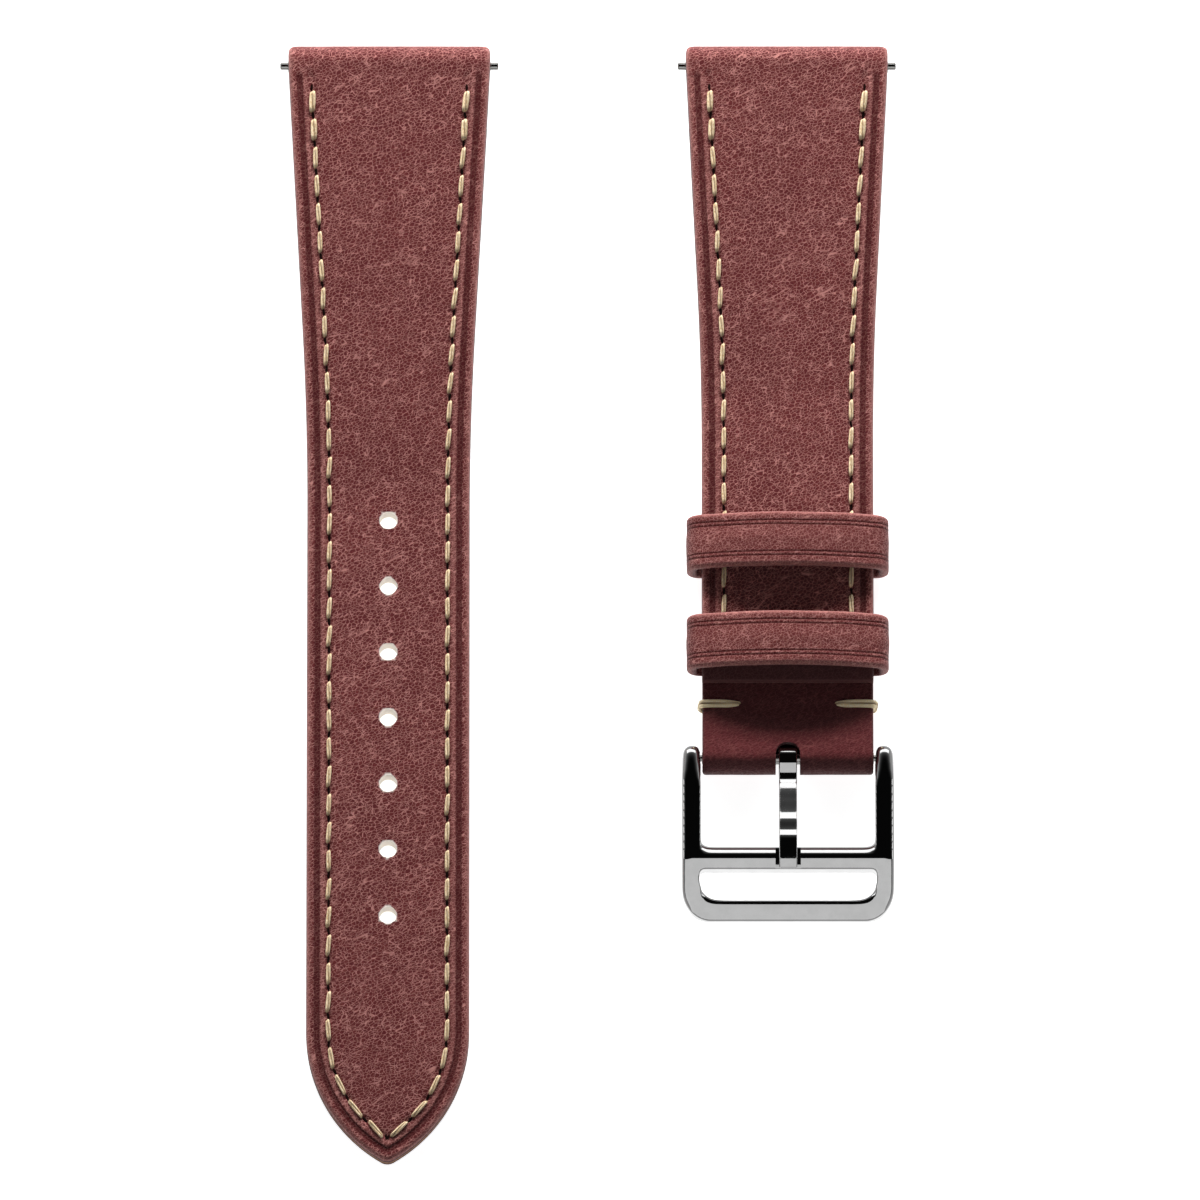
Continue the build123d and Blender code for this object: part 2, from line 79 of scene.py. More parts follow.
camera = add_object("camera", bpy.data.cameras.new("camera"))
towards_camera = Vector((0, -math.cos(CAMERA_HEIGHT_ANGLE), math.sin(CAMERA_HEIGHT_ANGLE)))
camera.location = LOOK_AT + towards_camera * CAMERA_DISTANCE
camera.rotation_euler = (-towards_camera).to_track_quat("-Z", "Y").to_euler()
camera.data.sensor_width = SENSOR_WIDTH
camera.data.lens = SENSOR_WIDTH * CAMERA_DISTANCE / VIEW_WIDTH
camera.data.clip_start, camera.data.clip_end = 0.1, 20
bpy.context.scene.camera = camera
print("lens in mm", round(camera.data.lens, 1))

# %% [markdown]
# ## Floor and light
#
# The strap lies on a plain white light table, as in a shop photograph, so the ground stays
# white even in the punched holes. One soft light stands low behind the lug ends, near enough
# that the light falls off towards the buckle. Polished steel is a mirror: if it saw this table
# and that lamp, it would be as white as the ground and its outline would vanish. So both are
# hidden from mirrors, which see dim cards and a room that is grey low down and black above.

# %% Add and feed nodes
def feed(tree, node, values):
    """Feeds a node's sockets with numbers or with other nodes' results."""
    for key, value in values.items():
        if isinstance(value, bpy.types.NodeSocket):
            tree.links.new(value, node.inputs[key])
        else:
            node.inputs[key].default_value = value


def add_node(tree, kind, values=None, **settings):
    """Adds a node, its settings first and then its sockets."""
    made = tree.nodes.new(kind)
    for key, value in settings.items():
        setattr(made, key, value)
    feed(tree, made, values or {})
    return made


def soft_range(tree, value, low, high, from_value=0.0, to_value=1.0):
    """Goes smoothly from one value to another while the input goes from low to high."""
    return add_node(tree, "ShaderNodeMapRange", {
        "Value": value, "From Min": low, "From Max": high, "To Min": from_value,
        "To Max": to_value}, interpolation_type="SMOOTHSTEP").outputs["Result"]


# %% Lay the floor
FLOOR_HALF = 0.6
TABLE_GLOW = 0.85


def make_floor():
    half = FLOOR_HALF
    mesh = bpy.data.meshes.new("floor")
    mesh.from_pydata([(-half, -half, 0), (half, -half, 0), (half, half, 0), (-half, half, 0)],
                     [], [(0, 1, 2, 3)])
    table = add_object("floor", mesh)
    table.visible_glossy = False
    paper = bpy.data.materials.new("white_table")
    paper.use_nodes = True
    feed(paper.node_tree, paper.node_tree.nodes["Principled BSDF"], {
        "Base Color": (0.93, 0.93, 0.93, 1), "Roughness": 0.9, "Specular IOR Level": 0.1,
        "Emission Color": (1, 1, 1, 1), "Emission Strength": TABLE_GLOW})
    mesh.materials.append(paper)
    return table


print("floor", make_floor().name, "half width", FLOOR_HALF)

# %% Hang the lights
# Azimuth from behind the lug ends, height angle, distance and size in metres, and power.
LIGHTS = {
    "key_behind_lugs": (0, 22, 0.5, (0.5, 0.08), 6.1),
    "card_behind": (0, 21, 1.2, (1.5, 0.6), 2.9),
    "panel_in_front": (180, 47, 1.2, (1.3, 0.75), 1.7),
    "strip_left": (-85, 25, 1.2, (0.9, 0.34), 0.95),
    "strip_right": (85, 25, 1.2, (0.9, 0.34), 0.95)}


def soft_light(name, azimuth, height_angle, distance, size, power):
    """An area light that faces the strap."""
    lamp = bpy.data.lights.new(name, "AREA")
    lamp.shape, lamp.energy = "RECTANGLE", power
    lamp.size, lamp.size_y = size
    turn, up = math.radians(azimuth), math.radians(height_angle)
    way = Vector((math.sin(turn) * math.cos(up), math.cos(turn) * math.cos(up), math.sin(up)))
    hung = add_object(name, lamp)
    hung.location = way * distance
    hung.rotation_euler = way.to_track_quat("Z", "Y").to_euler()
    return hung


def dark_ceiling():
    """A room that is light below the table, grey near it and black above."""
    room = bpy.data.worlds.new("room")
    bpy.context.scene.world = room
    room.use_nodes = True
    tree = room.node_tree
    way = add_node(tree, "ShaderNodeTexCoord").outputs["Generated"]
    height = add_node(tree, "ShaderNodeSeparateXYZ", {"Vector": way}).outputs["Z"]
    both = add_node(tree, "ShaderNodeMath", {
        0: soft_range(tree, height, 0.1, 0.85, 0.3, 0.002),
        1: soft_range(tree, height, -0.9, -0.35, 0.7, 0.0)})
    feed(tree, tree.nodes["Background"], {
        "Color": (1, 1, 1, 1), "Strength": both.outputs["Value"]})


lamps = {name: soft_light(name, *settings) for name, settings in LIGHTS.items()}
lamps["key_behind_lugs"].visible_glossy = False
dark_ceiling()
bpy.context.scene.view_settings.view_transform = "Standard"
bpy.context.scene.view_settings.look = "None"
print("lights", len(lamps))

# %% [markdown]
# ## Small helpers
#
# Every mesh is drawn in millimetres in the frame of its own half: y = 0 is the lug bar's axis,
# the leather runs towards -y, and z = 0 is the underside. The short half leans on its two
# loops, so it is turned a little about its lug bar. Its place goes into the mesh itself.

# %% Places of the two halves
HALF_OFFSET = 19.75
LUG_BAR_Y = 55.0
LUG_BAR_Z = 2.0
BUCKLE_BAR = (-71.0, 0.0)
SHORT_TILT = math.radians(1.331206)
TAIL_PLACE = Matrix.Translation((-HALF_OFFSET, LUG_BAR_Y, 0))
SHORT_PLACE = (Matrix.Translation((HALF_OFFSET, LUG_BAR_Y, LUG_BAR_Z))
               @ Matrix.Rotation(-SHORT_TILT, 4, "X")
               @ Matrix.Translation((0, 0, -LUG_BAR_Z)))
BUCKLE_PLACE = Matrix.Translation(SHORT_PLACE @ Vector((0, *BUCKLE_BAR)))
PLAIN = Matrix.Identity(4)
print("buckle bar in mm", [round(v, 3) for v in BUCKLE_PLACE.translation])

# %% Make a piece from points
MERGE_DISTANCE = 0.002 * MM
SHARP_ANGLE = math.radians(50)
# The rub mark is partly wax wear and partly painted highlight; the shaved mark is painted shadow
# of the fixed keeper on the short upper's end.
MARKS = ("crease", "rub", "paint", "shaved")


def close_and_smooth(mesh):
    """Merges doubles, turns the faces outwards and shades the rounded places smooth."""
    work = bmesh.new()
    work.from_mesh(mesh)
    bmesh.ops.remove_doubles(work, verts=work.verts, dist=MERGE_DISTANCE)
    bmesh.ops.dissolve_degenerate(work, edges=work.edges, dist=MERGE_DISTANCE / 2)
    bmesh.ops.recalc_face_normals(work, faces=work.faces)
    work.to_mesh(mesh)
    work.free()
    mesh.shade_smooth()
    mesh.set_sharp_from_angle(angle=SHARP_ANGLE)


def keep_mark(mesh, key, values):
    """Keeps one number for each point of a mesh, which materials and trees can read."""
    made = mesh.attributes.new(key, "FLOAT", "POINT")
    made.data.foreach_set("value", np.asarray(values, np.float32))


def make_piece(name, points, faces, place, finish=None, marks=None):
    """A piece from points in mm, put in place, with its object at the origin."""
    spots = np.asarray(points, float) @ np.array(place.to_3x3()).T + np.array(place.translation)
    mesh = bpy.data.meshes.new(name)
    mesh.from_pydata((spots * MM).tolist(), [], faces)
    if marks:
        for key, values in zip(MARKS, zip(*marks)):
            keep_mark(mesh, key, values)
    piece = add_object(name, mesh)
    close_and_smooth(mesh)
    if finish:
        mesh.materials.append(finish)
    print(name, len(mesh.vertices), "points", len(mesh.polygons), "faces")
    return piece


def skin(rows, count, ring=True, loop=False):
    """Faces between rows that follow each other, each a ring or a strip of count points."""
    faces = []
    for i in range(rows if loop else rows - 1):
        for j in range(count if ring else count - 1):
            here, there, k = i * count, (i + 1) % rows * count, (j + 1) % count
            faces.append((here + j, here + k, there + k, there + j))
    return faces


def capped(rows, count):
    """The faces of a tube with closed ends."""
    return skin(rows, count) + [tuple(range(count)),
                                tuple(range((rows - 1) * count, rows * count))]


# %% Cut and settle pieces
def settle(piece):
    """Turns a piece with modifiers into a plain mesh."""
    bpy.context.view_layer.update()
    shaped = piece.evaluated_get(bpy.context.evaluated_depsgraph_get())
    result = bpy.data.meshes.new_from_object(shaped)
    piece.modifiers.clear()
    piece.data = result
    result.name = piece.name
    return result


def carve(piece, cutters, common=()):
    """Keeps what a piece has in common with some solids, and cuts others out of it."""
    for operation, tools in (("INTERSECT", common), ("DIFFERENCE", cutters)):
        for solid in tools:
            tool = piece.modifiers.new("carve", "BOOLEAN")
            tool.operation, tool.solver, tool.object = operation, "EXACT", solid
    close_and_smooth(settle(piece))
    for solid in (*common, *cutters):
        bpy.data.objects.remove(solid)


def prism(outline, low, high, axis="X", place=BUCKLE_PLACE, name="cutter"):
    """A straight solid on a closed outline in mm, along one axis."""
    points = [{"X": (end, a, b), "Z": (a, b, end)}[axis] for end in (low, high)
              for a, b in outline]
    return make_piece(name, points, capped(2, len(outline)), place)


# %% Lines and steps
def between(start, end, steps):
    """Even points from one place towards another, without the last."""
    return [(start[0] + (end[0] - start[0]) * i / steps,
             start[1] + (end[1] - start[1]) * i / steps) for i in range(steps)]


def arc(centre, radius, first, last, steps):
    """Points of a circle from one turn to another, both ends included."""
    turns = [first + (last - first) * i / steps for i in range(steps + 1)]
    return [(centre[0] + radius * math.cos(turn), centre[1] + radius * math.sin(turn))
            for turn in turns]


def circle(centre, radius, steps=40):
    return arc(centre, radius, 0, math.tau, steps)[:-1]


def turn_to(centre, point):
    return math.atan2(point[1] - centre[1], point[0] - centre[0])


def mirrored(line):
    """The same line on the other side, running back."""
    return [(-x, y) for x, y in reversed(line)]


def run_lengths(line):
    """The length of a line up to each of its points."""
    return np.concatenate([[0], np.cumsum([math.dist(a, b) for a, b in zip(line, line[1:])])])


def soft_step(value, low, high):
    share = min(1.0, max(0.0, (value - low) / (high - low)))
    return share * share * (3 - 2 * share)


print("helpers ready")

# %% [markdown]
# ## Colours and finishes
#
# The leather is a waxed calf in a dark reddish brown. Its grain is a fine net of wrinkles that
# catch the light and look pinkish, over slow changes of tone. A photograph could be wrapped
# round it, but a procedural grain follows every piece at the same scale and never shows a seam.
# All materials read Object coordinates in millimetres, because every piece sits at the origin.

# %% A small language for materials
def srgb(r, g, b):
    """An sRGB colour from 0 to 255 as linear values."""
    shares = [v / 255 for v in (r, g, b)]
    return (*(v / 12.92 if v <= 0.04045 else ((v + 0.055) / 1.055) ** 2.4 for v in shares), 1)


class Finish:
    """A node material, built step by step."""

    def __init__(self, name, values):
        self.material = bpy.data.materials.new(name)
        self.material.use_nodes = True
        self.tree = self.material.node_tree
        self.shader = self.tree.nodes["Principled BSDF"]
        feed(self.tree, self.shader, values)
        self.mm = self.scaled(self.node("ShaderNodeTexCoord").outputs["Object"], (1 / MM,) * 3)

    def node(self, kind, values=None, **settings):
        return add_node(self.tree, kind, values, **settings)

    def scaled(self, vector, scale, turn=(0, 0, 0)):
        return self.node("ShaderNodeMapping", {
            "Vector": vector, "Scale": scale, "Rotation": turn}).outputs["Vector"]

    def noise(self, vector, scale, detail=3.0, rough=0.5, result="Fac"):
        return self.node("ShaderNodeTexNoise", {
            "Vector": vector, "Scale": scale, "Detail": detail,
            "Roughness": rough}).outputs[result]

    def ramp(self, *values):
        return soft_range(self.tree, *values)

    def math(self, operation, *values):
        return self.node("ShaderNodeMath", dict(enumerate(values)),
                         operation=operation).outputs["Value"]

    def times(self, a, b):
        return self.math("MULTIPLY", a, b)

    def mix(self, share, a, b):
        return self.node("ShaderNodeMix", {"Factor": share, 6: a, 7: b},
                         data_type="RGBA").outputs[2]

    def tint(self, colour, mark, share, tint):
        """Lays a tint over a colour where the mesh carries a mark."""
        marked = self.node("ShaderNodeAttribute", attribute_name=mark).outputs["Fac"]
        return self.mix(self.times(marked, share), colour, tint)

    def net(self, vector, scale, width, spread=1.0):
        """Thin lines on the edges of cells: 1 on the edge, 0 at the width from it."""
        cells = self.node("ShaderNodeTexVoronoi", {
            "Vector": vector, "Scale": scale, "Randomness": spread}, feature="DISTANCE_TO_EDGE")
        share = self.math("DIVIDE", cells.outputs["Distance"], width)
        return self.math("MAXIMUM", self.math("SUBTRACT", 1.0, share), 0.0)

    def warp(self, vector, scale, amount):
        """Pushes a pattern about, so that it runs unevenly as grain does."""
        drift = self.noise(vector, scale, 2.0, result="Color")
        centred = self.node("ShaderNodeVectorMath", {0: drift, 1: (0.5,) * 3},
                            operation="SUBTRACT").outputs["Vector"]
        return self.node("ShaderNodeVectorMath", {0: centred, 1: (amount,) * 3, 2: vector},
                         operation="MULTIPLY_ADD").outputs["Vector"]

    def bump(self, height, depth_mm, strength):
        return self.node("ShaderNodeBump", {
            "Height": height, "Distance": depth_mm * MM,
            "Strength": strength}).outputs["Normal"]

    def done(self, **results):
        """Feeds the shader with the results, such as Base_Color, and hands over the material."""
        feed(self.tree, self.shader, {key.replace("_", " "): v for key, v in results.items()})
        return self.material


print("material helper ready")

# %% [markdown]
# ### Waxed calf leather
#
# Two nets of wrinkles lie over each other, a fine even grain and longer creases that run
# across the strap at a slant. Below them the tone changes slowly, where the dye took
# unevenly. The marks on the mesh say where the heated crease line burned the edge dark and
# where the cut edge was painted. Three marks paint light and shade: the rub mark lightens the
# rolled edge, partly as wax wear and partly as painted highlight, with a thin painted
# highlight on the step at the short upper's end; the shaved mark darkens that end as painted
# shadow of the fixed keeper; and where a punched hole shows the raw hide, its wall is painted
# near-white as light from the table.

# %% Mix the leather
WRINKLE_PINK = srgb(208, 146, 138)
CREASE_RED = srgb(60, 9, 12)
# Painted shadow: the dark colour where the fixed keeper's shadow falls on the short upper's end.
PAINTED_SHADOW_RED = srgb(72, 34, 36)
EDGE_PAINT = srgb(78, 38, 37)
# Raw hide on the punched hole walls, made near-white as painted light from the glowing table
# below.
RAW_HIDE_AND_PAINTED_LIGHT = srgb(250, 244, 236)
WAXED = {"Specular IOR Level": 0.26, "Sheen Weight": 0.07, "Sheen Roughness": 0.4}
GRAIN_SLANT = -0.5
PLEAT_STRETCH = (0.34, 1.4, 1)


def waxed_leather(name, dark, warm, pink=WRINKLE_PINK, grain_stretch=(0.8, 1.2, 1),
                  line_share=0.84, rim=EDGE_PAINT):
    leather = Finish(name, WAXED)
    mm, cloud, ramp, times = leather.mm, leather.noise, leather.ramp, leather.times
    slanted = leather.scaled(mm, (1, 1, 1), (0, 0, GRAIN_SLANT))
    grain = leather.warp(leather.scaled(slanted, grain_stretch), 0.7, 0.5)
    pleats = leather.warp(leather.scaled(slanted, PLEAT_STRETCH), 0.7, 0.3)
    line_width = ramp(cloud(mm, 1.3), 0.36, 0.64, 0.058, 0.07)
    long_lines = times(leather.net(pleats, 1.5, 0.042, 0.8), ramp(cloud(mm, 0.8), 0.36, 0.64))
    lines = leather.math("MAXIMUM", leather.net(grain, 2.9, line_width), long_lines)
    lines = times(lines, ramp(cloud(mm, 0.5, rough=0.6), 0.3, 0.7, 0.9, 1.0))
    tone = ramp(cloud(mm, 3.0, 5.0, 0.75), 0.34, 0.66)
    slow_tone = ramp(cloud(mm, 0.12, 2.0), 0.35, 0.65)
    colour = leather.mix(tone, dark, warm)
    colour = leather.mix(times(slow_tone, 0.4), colour, dark)
    colour = leather.mix(times(lines, line_share), colour, pink)
    # The shaved tint is painted shadow, the rub tint is partly painted highlight, and the raw tint
    # is partly painted light on the hole walls.
    for mark, share, tint in (("crease", 0.92, CREASE_RED), ("rub", 0.5, pink),
                              ("shaved", 0.85, PAINTED_SHADOW_RED), ("paint", 1.0, rim),
                              ("raw", 1.0, RAW_HIDE_AND_PAINTED_LIGHT)):
        colour = leather.tint(colour, mark, share, tint)
    height = leather.math("SUBTRACT", times(tone, 0.5), times(lines, 0.8))
    height = leather.math("MULTIPLY_ADD", cloud(mm, 9.0, 2.0), 0.35, height)
    return leather.done(Base_Color=colour, Normal=leather.bump(height, 0.035, 0.8),
                        Roughness=ramp(tone, 0.0, 1.0, 0.64, 0.48))


strap_leather = waxed_leather("waxed_calf", srgb(81, 31, 33), srgb(103, 45, 45))
# The keepers' edge paint is lighter, as painted light on rims that face away from the key; keepers
# carry no paint mark, so it shows nowhere.
keeper_leather = waxed_leather("keeper_calf", srgb(92, 41, 41), srgb(116, 60, 58),
                               grain_stretch=(1.1, 1.2, 1), line_share=0.76,
                               rim=srgb(138, 81, 75))
tab_leather = waxed_leather("tab_calf", srgb(72, 27, 30), srgb(94, 42, 44), srgb(146, 90, 86),
                            grain_stretch=(0.5, 1.5, 1), line_share=0.4)
print("leathers", strap_leather.name, keeper_leather.name, tab_leather.name)

# %% [markdown]
# ### Lining, thread and steel
#
# The lining is a smooth tan calf. The thread is waxed linen in two plies, cream, with painted
# shade deep in the grooves between the plies; the bar tacks get a lighter copy, painted light
# for a keeper's shadow. The steel is polished, with hairline scratches that only roughness and
# a faint bump show. Spring steel is darker and duller. A needle hole is painted nearly black, as
# the shade inside it.

# %% Mix the lining, the thread and the steels
def plain_lining(name):
    hide = Finish(name, {"Roughness": 0.62, "Specular IOR Level": 0.3})
    pores, clouds = hide.noise(hide.mm, 6.0, 4.0, 0.65), hide.noise(hide.mm, 0.25)
    colour = hide.mix(hide.ramp(clouds, 0.3, 0.7), srgb(150, 108, 78), srgb(172, 128, 94))
    colour = hide.mix(hide.ramp(pores, 0.52, 0.75, 0.0, 0.5), colour, srgb(112, 76, 54))
    # The raw tint on the hole walls is raw hide, painted near-white as light.
    for mark, tint in (("paint", EDGE_PAINT), ("raw", RAW_HIDE_AND_PAINTED_LIGHT)):
        colour = hide.tint(colour, mark, 1.0, tint)
    return hide.done(Base_Color=colour, Normal=hide.bump(pores, 0.03, 0.6))


def waxed_thread(name, shade, light):
    linen = Finish(name, {"Roughness": 0.55, "Specular IOR Level": 0.35})
    fibres = linen.noise(linen.scaled(linen.mm, (5, 1.4, 5), (0, 0, 0.35)), 3.0, rough=0.6)
    colour = linen.mix(linen.ramp(fibres, 0.3, 0.7), shade, light)
    # Painted shade: brown deep between the plies, where shade falls.
    colour = linen.tint(colour, "between", 0.85, srgb(104, 68, 38))
    return linen.done(Base_Color=colour, Normal=linen.bump(fibres, 0.03, 0.7))


def polished_steel(name, grey, roughness, scratch):
    steel = Finish(name, {"Metallic": 1.0})
    hair = steel.noise(steel.scaled(steel.mm, (9, 0.6, 9)), 2.0, 2.0)
    worn = tuple(v * 0.94 for v in grey) + (1,)
    colour = steel.mix(steel.ramp(steel.noise(steel.mm, 0.7), 0.3, 0.7), (*grey, 1), worn)
    return steel.done(Base_Color=colour, Normal=steel.bump(hair, 0.002, scratch),
                      Roughness=steel.ramp(hair, 0.3, 0.7, roughness * 0.8, roughness * 1.25))


# Painted shade: a needle hole's dark inside, as a near-black colour with a faint mottle.
def dark_slit(name):
    slit = Finish(name, {"Roughness": 0.85, "Specular IOR Level": 0.1})
    shade_mottle = slit.noise(slit.mm, 5.0, 2.0)
    return slit.done(Base_Color=slit.mix(shade_mottle, srgb(14, 7, 6), srgb(34, 18, 16)))


lining_leather = plain_lining("tan_lining")
thread = waxed_thread("waxed_linen", srgb(196, 160, 110), srgb(252, 236, 204))
# A lighter copy of the thread for the bar tacks: painted light, since they lie in a keeper's
# shadow.
tack_thread_painted_light = waxed_thread("waxed_linen_tack", srgb(255, 226, 168), srgb(255, 246, 218))
buckle_steel = polished_steel("polished_steel", (0.86, 0.86, 0.86), 0.06, 0.1)
bar_steel = polished_steel("bar_steel", (0.66, 0.65, 0.63), 0.2, 0.4)
spring_steel = polished_steel("spring_steel", (0.42, 0.42, 0.43), 0.3, 0.5)
slit_dark = dark_slit("needle_slit_dark")
print("finishes", len(bpy.data.materials))

# %% [markdown]
# ## The shape of a half
#
# A strap half is cut from a plan: wide at the lugs, narrowing to a slim width, and on the tail
# half ending in a pointed arch. A grid of ribs follows that plan. Each rib starts at the cut
# edge and runs square to it to the middle, so the rolled edge, the crease and the stitch
# channel keep their distance from the edge all the way round the point. Subdividing a box
# would not do that.

# %% Measures of the two halves
LUG_HALF = 10.0
LUG_CORNER = 0.8
SIDE_BEND = 335.0
FULL_T = 2.0
LINING_T = 0.9
FLAP_END = -6.0
TAIL = dict(name="tail", place=TAIL_PLACE, slim=8.0, narrowing=36.5, taper=44.0, tip=-112.0)
SHORT = dict(name="short", place=SHORT_PLACE, slim=8.45, narrowing=31.0, taper=34.0, end=-63.5)
ARCH_R = 15.0
TIP_R = 1.2
HOLE_R = 0.85
HOLE_PITCH = 6.72
HOLES = [(0.0, TAIL["tip"] + 24.9 + HOLE_PITCH * i) for i in range(7)]
TUNNEL_R = 0.8
ARCH_INSET = ARCH_R - TAIL["slim"]
ARCH_START = TAIL["tip"] + TIP_R + math.sqrt((ARCH_R - TIP_R) ** 2 - ARCH_INSET ** 2)
print("pointed arch starts at", round(ARCH_START, 3))

# %% Width and thickness along a half
def half_width(y, half):
    """Half the strap's width at a place along it."""
    slope = (LUG_HALF - half["slim"]) / half["narrowing"]
    angle = math.atan(slope)
    bend_end = -half["narrowing"] - SIDE_BEND * math.tan(angle / 2)
    bend_start = bend_end + SIDE_BEND * math.sin(angle)
    corner_start = LUG_BAR_Z - LUG_CORNER
    if y > corner_start:
        rise = min(LUG_CORNER, y - corner_start)
        return LUG_HALF - LUG_CORNER + math.sqrt(LUG_CORNER ** 2 - rise ** 2)
    if y >= 0:
        return LUG_HALF
    if y >= bend_start:
        return LUG_HALF + slope * y
    if y > bend_end:
        return half["slim"] + SIDE_BEND - math.sqrt(SIDE_BEND ** 2 - (y - bend_end) ** 2)
    return half["slim"]


def bar_round(y):
    """How far the fold stands from the lug bar's height."""
    return math.sqrt(max(0.0, LUG_BAR_Z ** 2 - y * y))


def top_line(half):
    """The side view's top: level, then a slope that touches the fold round the lug bar."""
    lean = math.asin(LUG_BAR_Z / math.hypot(half["taper"], LUG_BAR_Z - FULL_T))
    touch_y = -math.sin(lean) * LUG_BAR_Z
    touch_z = LUG_BAR_Z + math.cos(lean) * LUG_BAR_Z
    slope = (touch_z - FULL_T) / (touch_y + half["taper"])
    return lambda y: (LUG_BAR_Z + bar_round(y) if y > touch_y
                      else FULL_T + max(0.0, y + half["taper"]) * slope)


for half in (TAIL, SHORT):
    half["top"] = top_line(half)
    print(half["name"], "thickness at the fold", round(half["top"](0), 3), "and past the taper",
          half["top"](-60))

# %% Ribs that stand square on the edge
NOSE_STEPS = 16
NOSE_START = math.radians(2.5)
TIP_STEPS = 8


def cross_rib(y, half):
    """A rib is where it starts on the edge, its way inwards and its length."""
    width = half_width(y, half)
    return (width, y, (-1.0, 0.0), width)


def straight_ribs(half, first, last, step):
    count = max(1, round((first - last) / step))
    return [cross_rib(first + (last - first) * i / count, half) for i in range(count + 1)]


def nose_ribs(half):
    """Ribs round the fold, from its foremost line to the bar's height."""
    turns = [NOSE_START + (math.pi / 2 - NOSE_START) * i / NOSE_STEPS for i in range(NOSE_STEPS)]
    return [cross_rib(LUG_BAR_Z * math.cos(turn), half) for turn in turns]


def point_ribs(step):
    """Ribs of the pointed arch and its small rounded tip."""
    def on_arc(middle, radius, turn, length):
        way = (-math.cos(turn), math.sin(turn))
        return (middle[0] - radius * way[0], middle[1] - radius * way[1], way, length)

    last = math.acos(ARCH_INSET / (ARCH_R - TIP_R))
    count = round(ARCH_R * last / step)
    turns = [last * i / count for i in range(1, count + 1)]
    ribs = [on_arc((-ARCH_INSET, ARCH_START), ARCH_R, turn, ARCH_R - ARCH_INSET / math.cos(turn))
            for turn in turns]
    turns = [last + (math.pi / 2 - last) * i / TIP_STEPS for i in range(1, TIP_STEPS + 1)]
    return ribs + [on_arc((0, TAIL["tip"] + TIP_R), TIP_R, turn, TIP_R) for turn in turns]


print("ribs at the point", len(point_ribs(0.3)))

# %% [markdown]
# ## Rolled edge, crease and stitch channel
#
# A strap maker bevels and paints the edge, then runs a heated creasing iron along it, which
# burns a dark double line. The sewing awl pulls the leather down into a shallow channel, most
# of all at each needle hole. These are small drops in the height of the top, a function of
# the distance from the edge and of the place along the seam.

# %% Relief of the top
STITCH_INSET = 2.15
CREASE_AT = 1.0
CREASE_GAP = 0.17
# Half the width and the depth of the crease's bed and of each of its two lines.
CREASE_BED = (0.42, 0.10)
CREASE_LINE = (0.1, 0.04)
CHANNEL_HALF = 0.55
CHANNEL_DEPTH = 0.07
NEEDLE_DENT = 0.09
EDGE_ROLL = 0.42
EDGE_COLUMNS = [0, 0.03, 0.08, 0.16, 0.27, 0.42, 0.55, 0.66, 0.74, 0.81, 0.88, 0.94, 1.0, 1.06,
                1.12, 1.19, 1.26, 1.35, 1.5, 1.66, 1.8, 1.92, 2.04, 2.15, 2.26, 2.38, 2.5,
                2.66, 2.9, 3.25, 3.7, 4.2, 4.7, 5.2, 5.7, 6.2, 6.6, 6.85, 7.05, 7.25, 7.5, 7.75,
                8.0, 8.3, 8.6, 8.9, 9.3, 9.7, 10.0]
FLOOR_COLUMNS = [0, 0.03, 0.1, 0.3, 1.0, 3.0, 5.0, 7.0, 10.0]
SIDE_STEPS = 6


def edge_drop(inset, radius):
    return radius - math.sqrt(max(0.0, radius ** 2 - (radius - min(inset, radius)) ** 2))


def groove(distance, half, depth):
    """A rounded groove."""
    return -depth * (0.5 + 0.5 * math.cos(math.pi * min(1.0, abs(distance) / half)))


def shaved_end_and_painted_shadow(y, half):
    """1 near the short upper's end, where it was shaved thin and its creases stop; there the
    colour is darkened as painted shadow of the fixed keeper.
    """
    return soft_step(half["end"] + 2.6 - y, 0.0, 1.0) if "end" in half else 0.0


def crease_share(inset, y, half):
    """1 in the two lines of the creasing iron, which starts just behind the lug bar."""
    fade = soft_step(-y, 1.1, 1.5) * (1 - shaved_end_and_painted_shadow(y, half))
    away = abs(inset - CREASE_AT)
    return fade * max(0.0, 1 - abs(away - CREASE_GAP) / 0.12,
                      0.72 * soft_step(0.36 - away, 0.0, 0.08))


def rub_and_highlight_share(inset, y, half):
    """1 on the rolled edge and less on the ridge between crease and seam: lighter partly where wax
    rubs off and partly as painted highlight. At the short upper's end it is a thin painted
    highlight on the step's rim.
    """
    ridge = 0.4 * max(0.0, 1 - abs(inset - 1.55) / 0.3) * soft_step(-y, 1.1, 1.9)
    # Painted highlight: a thin light line on the rim of the step where the short upper ends.
    end = 1.3 * soft_step(half["end"] + 0.25 - y, 0.0, 0.1) if "end" in half else 0.0
    return max(0.7 * max(0.0, 1 - inset / 0.5), ridge, end)


def relief(x, y, inset, half):
    """How far the top stands above the plain CAD surface, in mm."""
    seam = half["seam"]
    near_hole = 0.5 + 0.5 * math.cos(
        math.tau * float(np.interp(y, seam["y"], seam["run"])) / seam["pitch"])
    away = abs(inset - CREASE_AT)
    pressed = (groove(away, *CREASE_BED) + groove(away - CREASE_GAP, *CREASE_LINE)
               + groove(inset - STITCH_INSET, CHANNEL_HALF,
                        CHANNEL_DEPTH + NEEDLE_DENT * near_hole))
    fade = soft_step(-y, 1.0, 1.5) * (1 - shaved_end_and_painted_shadow(y, half))
    return (0.09 * soft_step(inset, 0.8, 5.5) - 0.03 + fade * pressed
            + 0.022 * noise.noise(Vector((x * 0.5, y * 0.5, 0.3)))
            + 0.010 * noise.noise(Vector((x * 1.6, y * 1.6, 4.1))))


print("columns across half a strap", len(EDGE_COLUMNS))

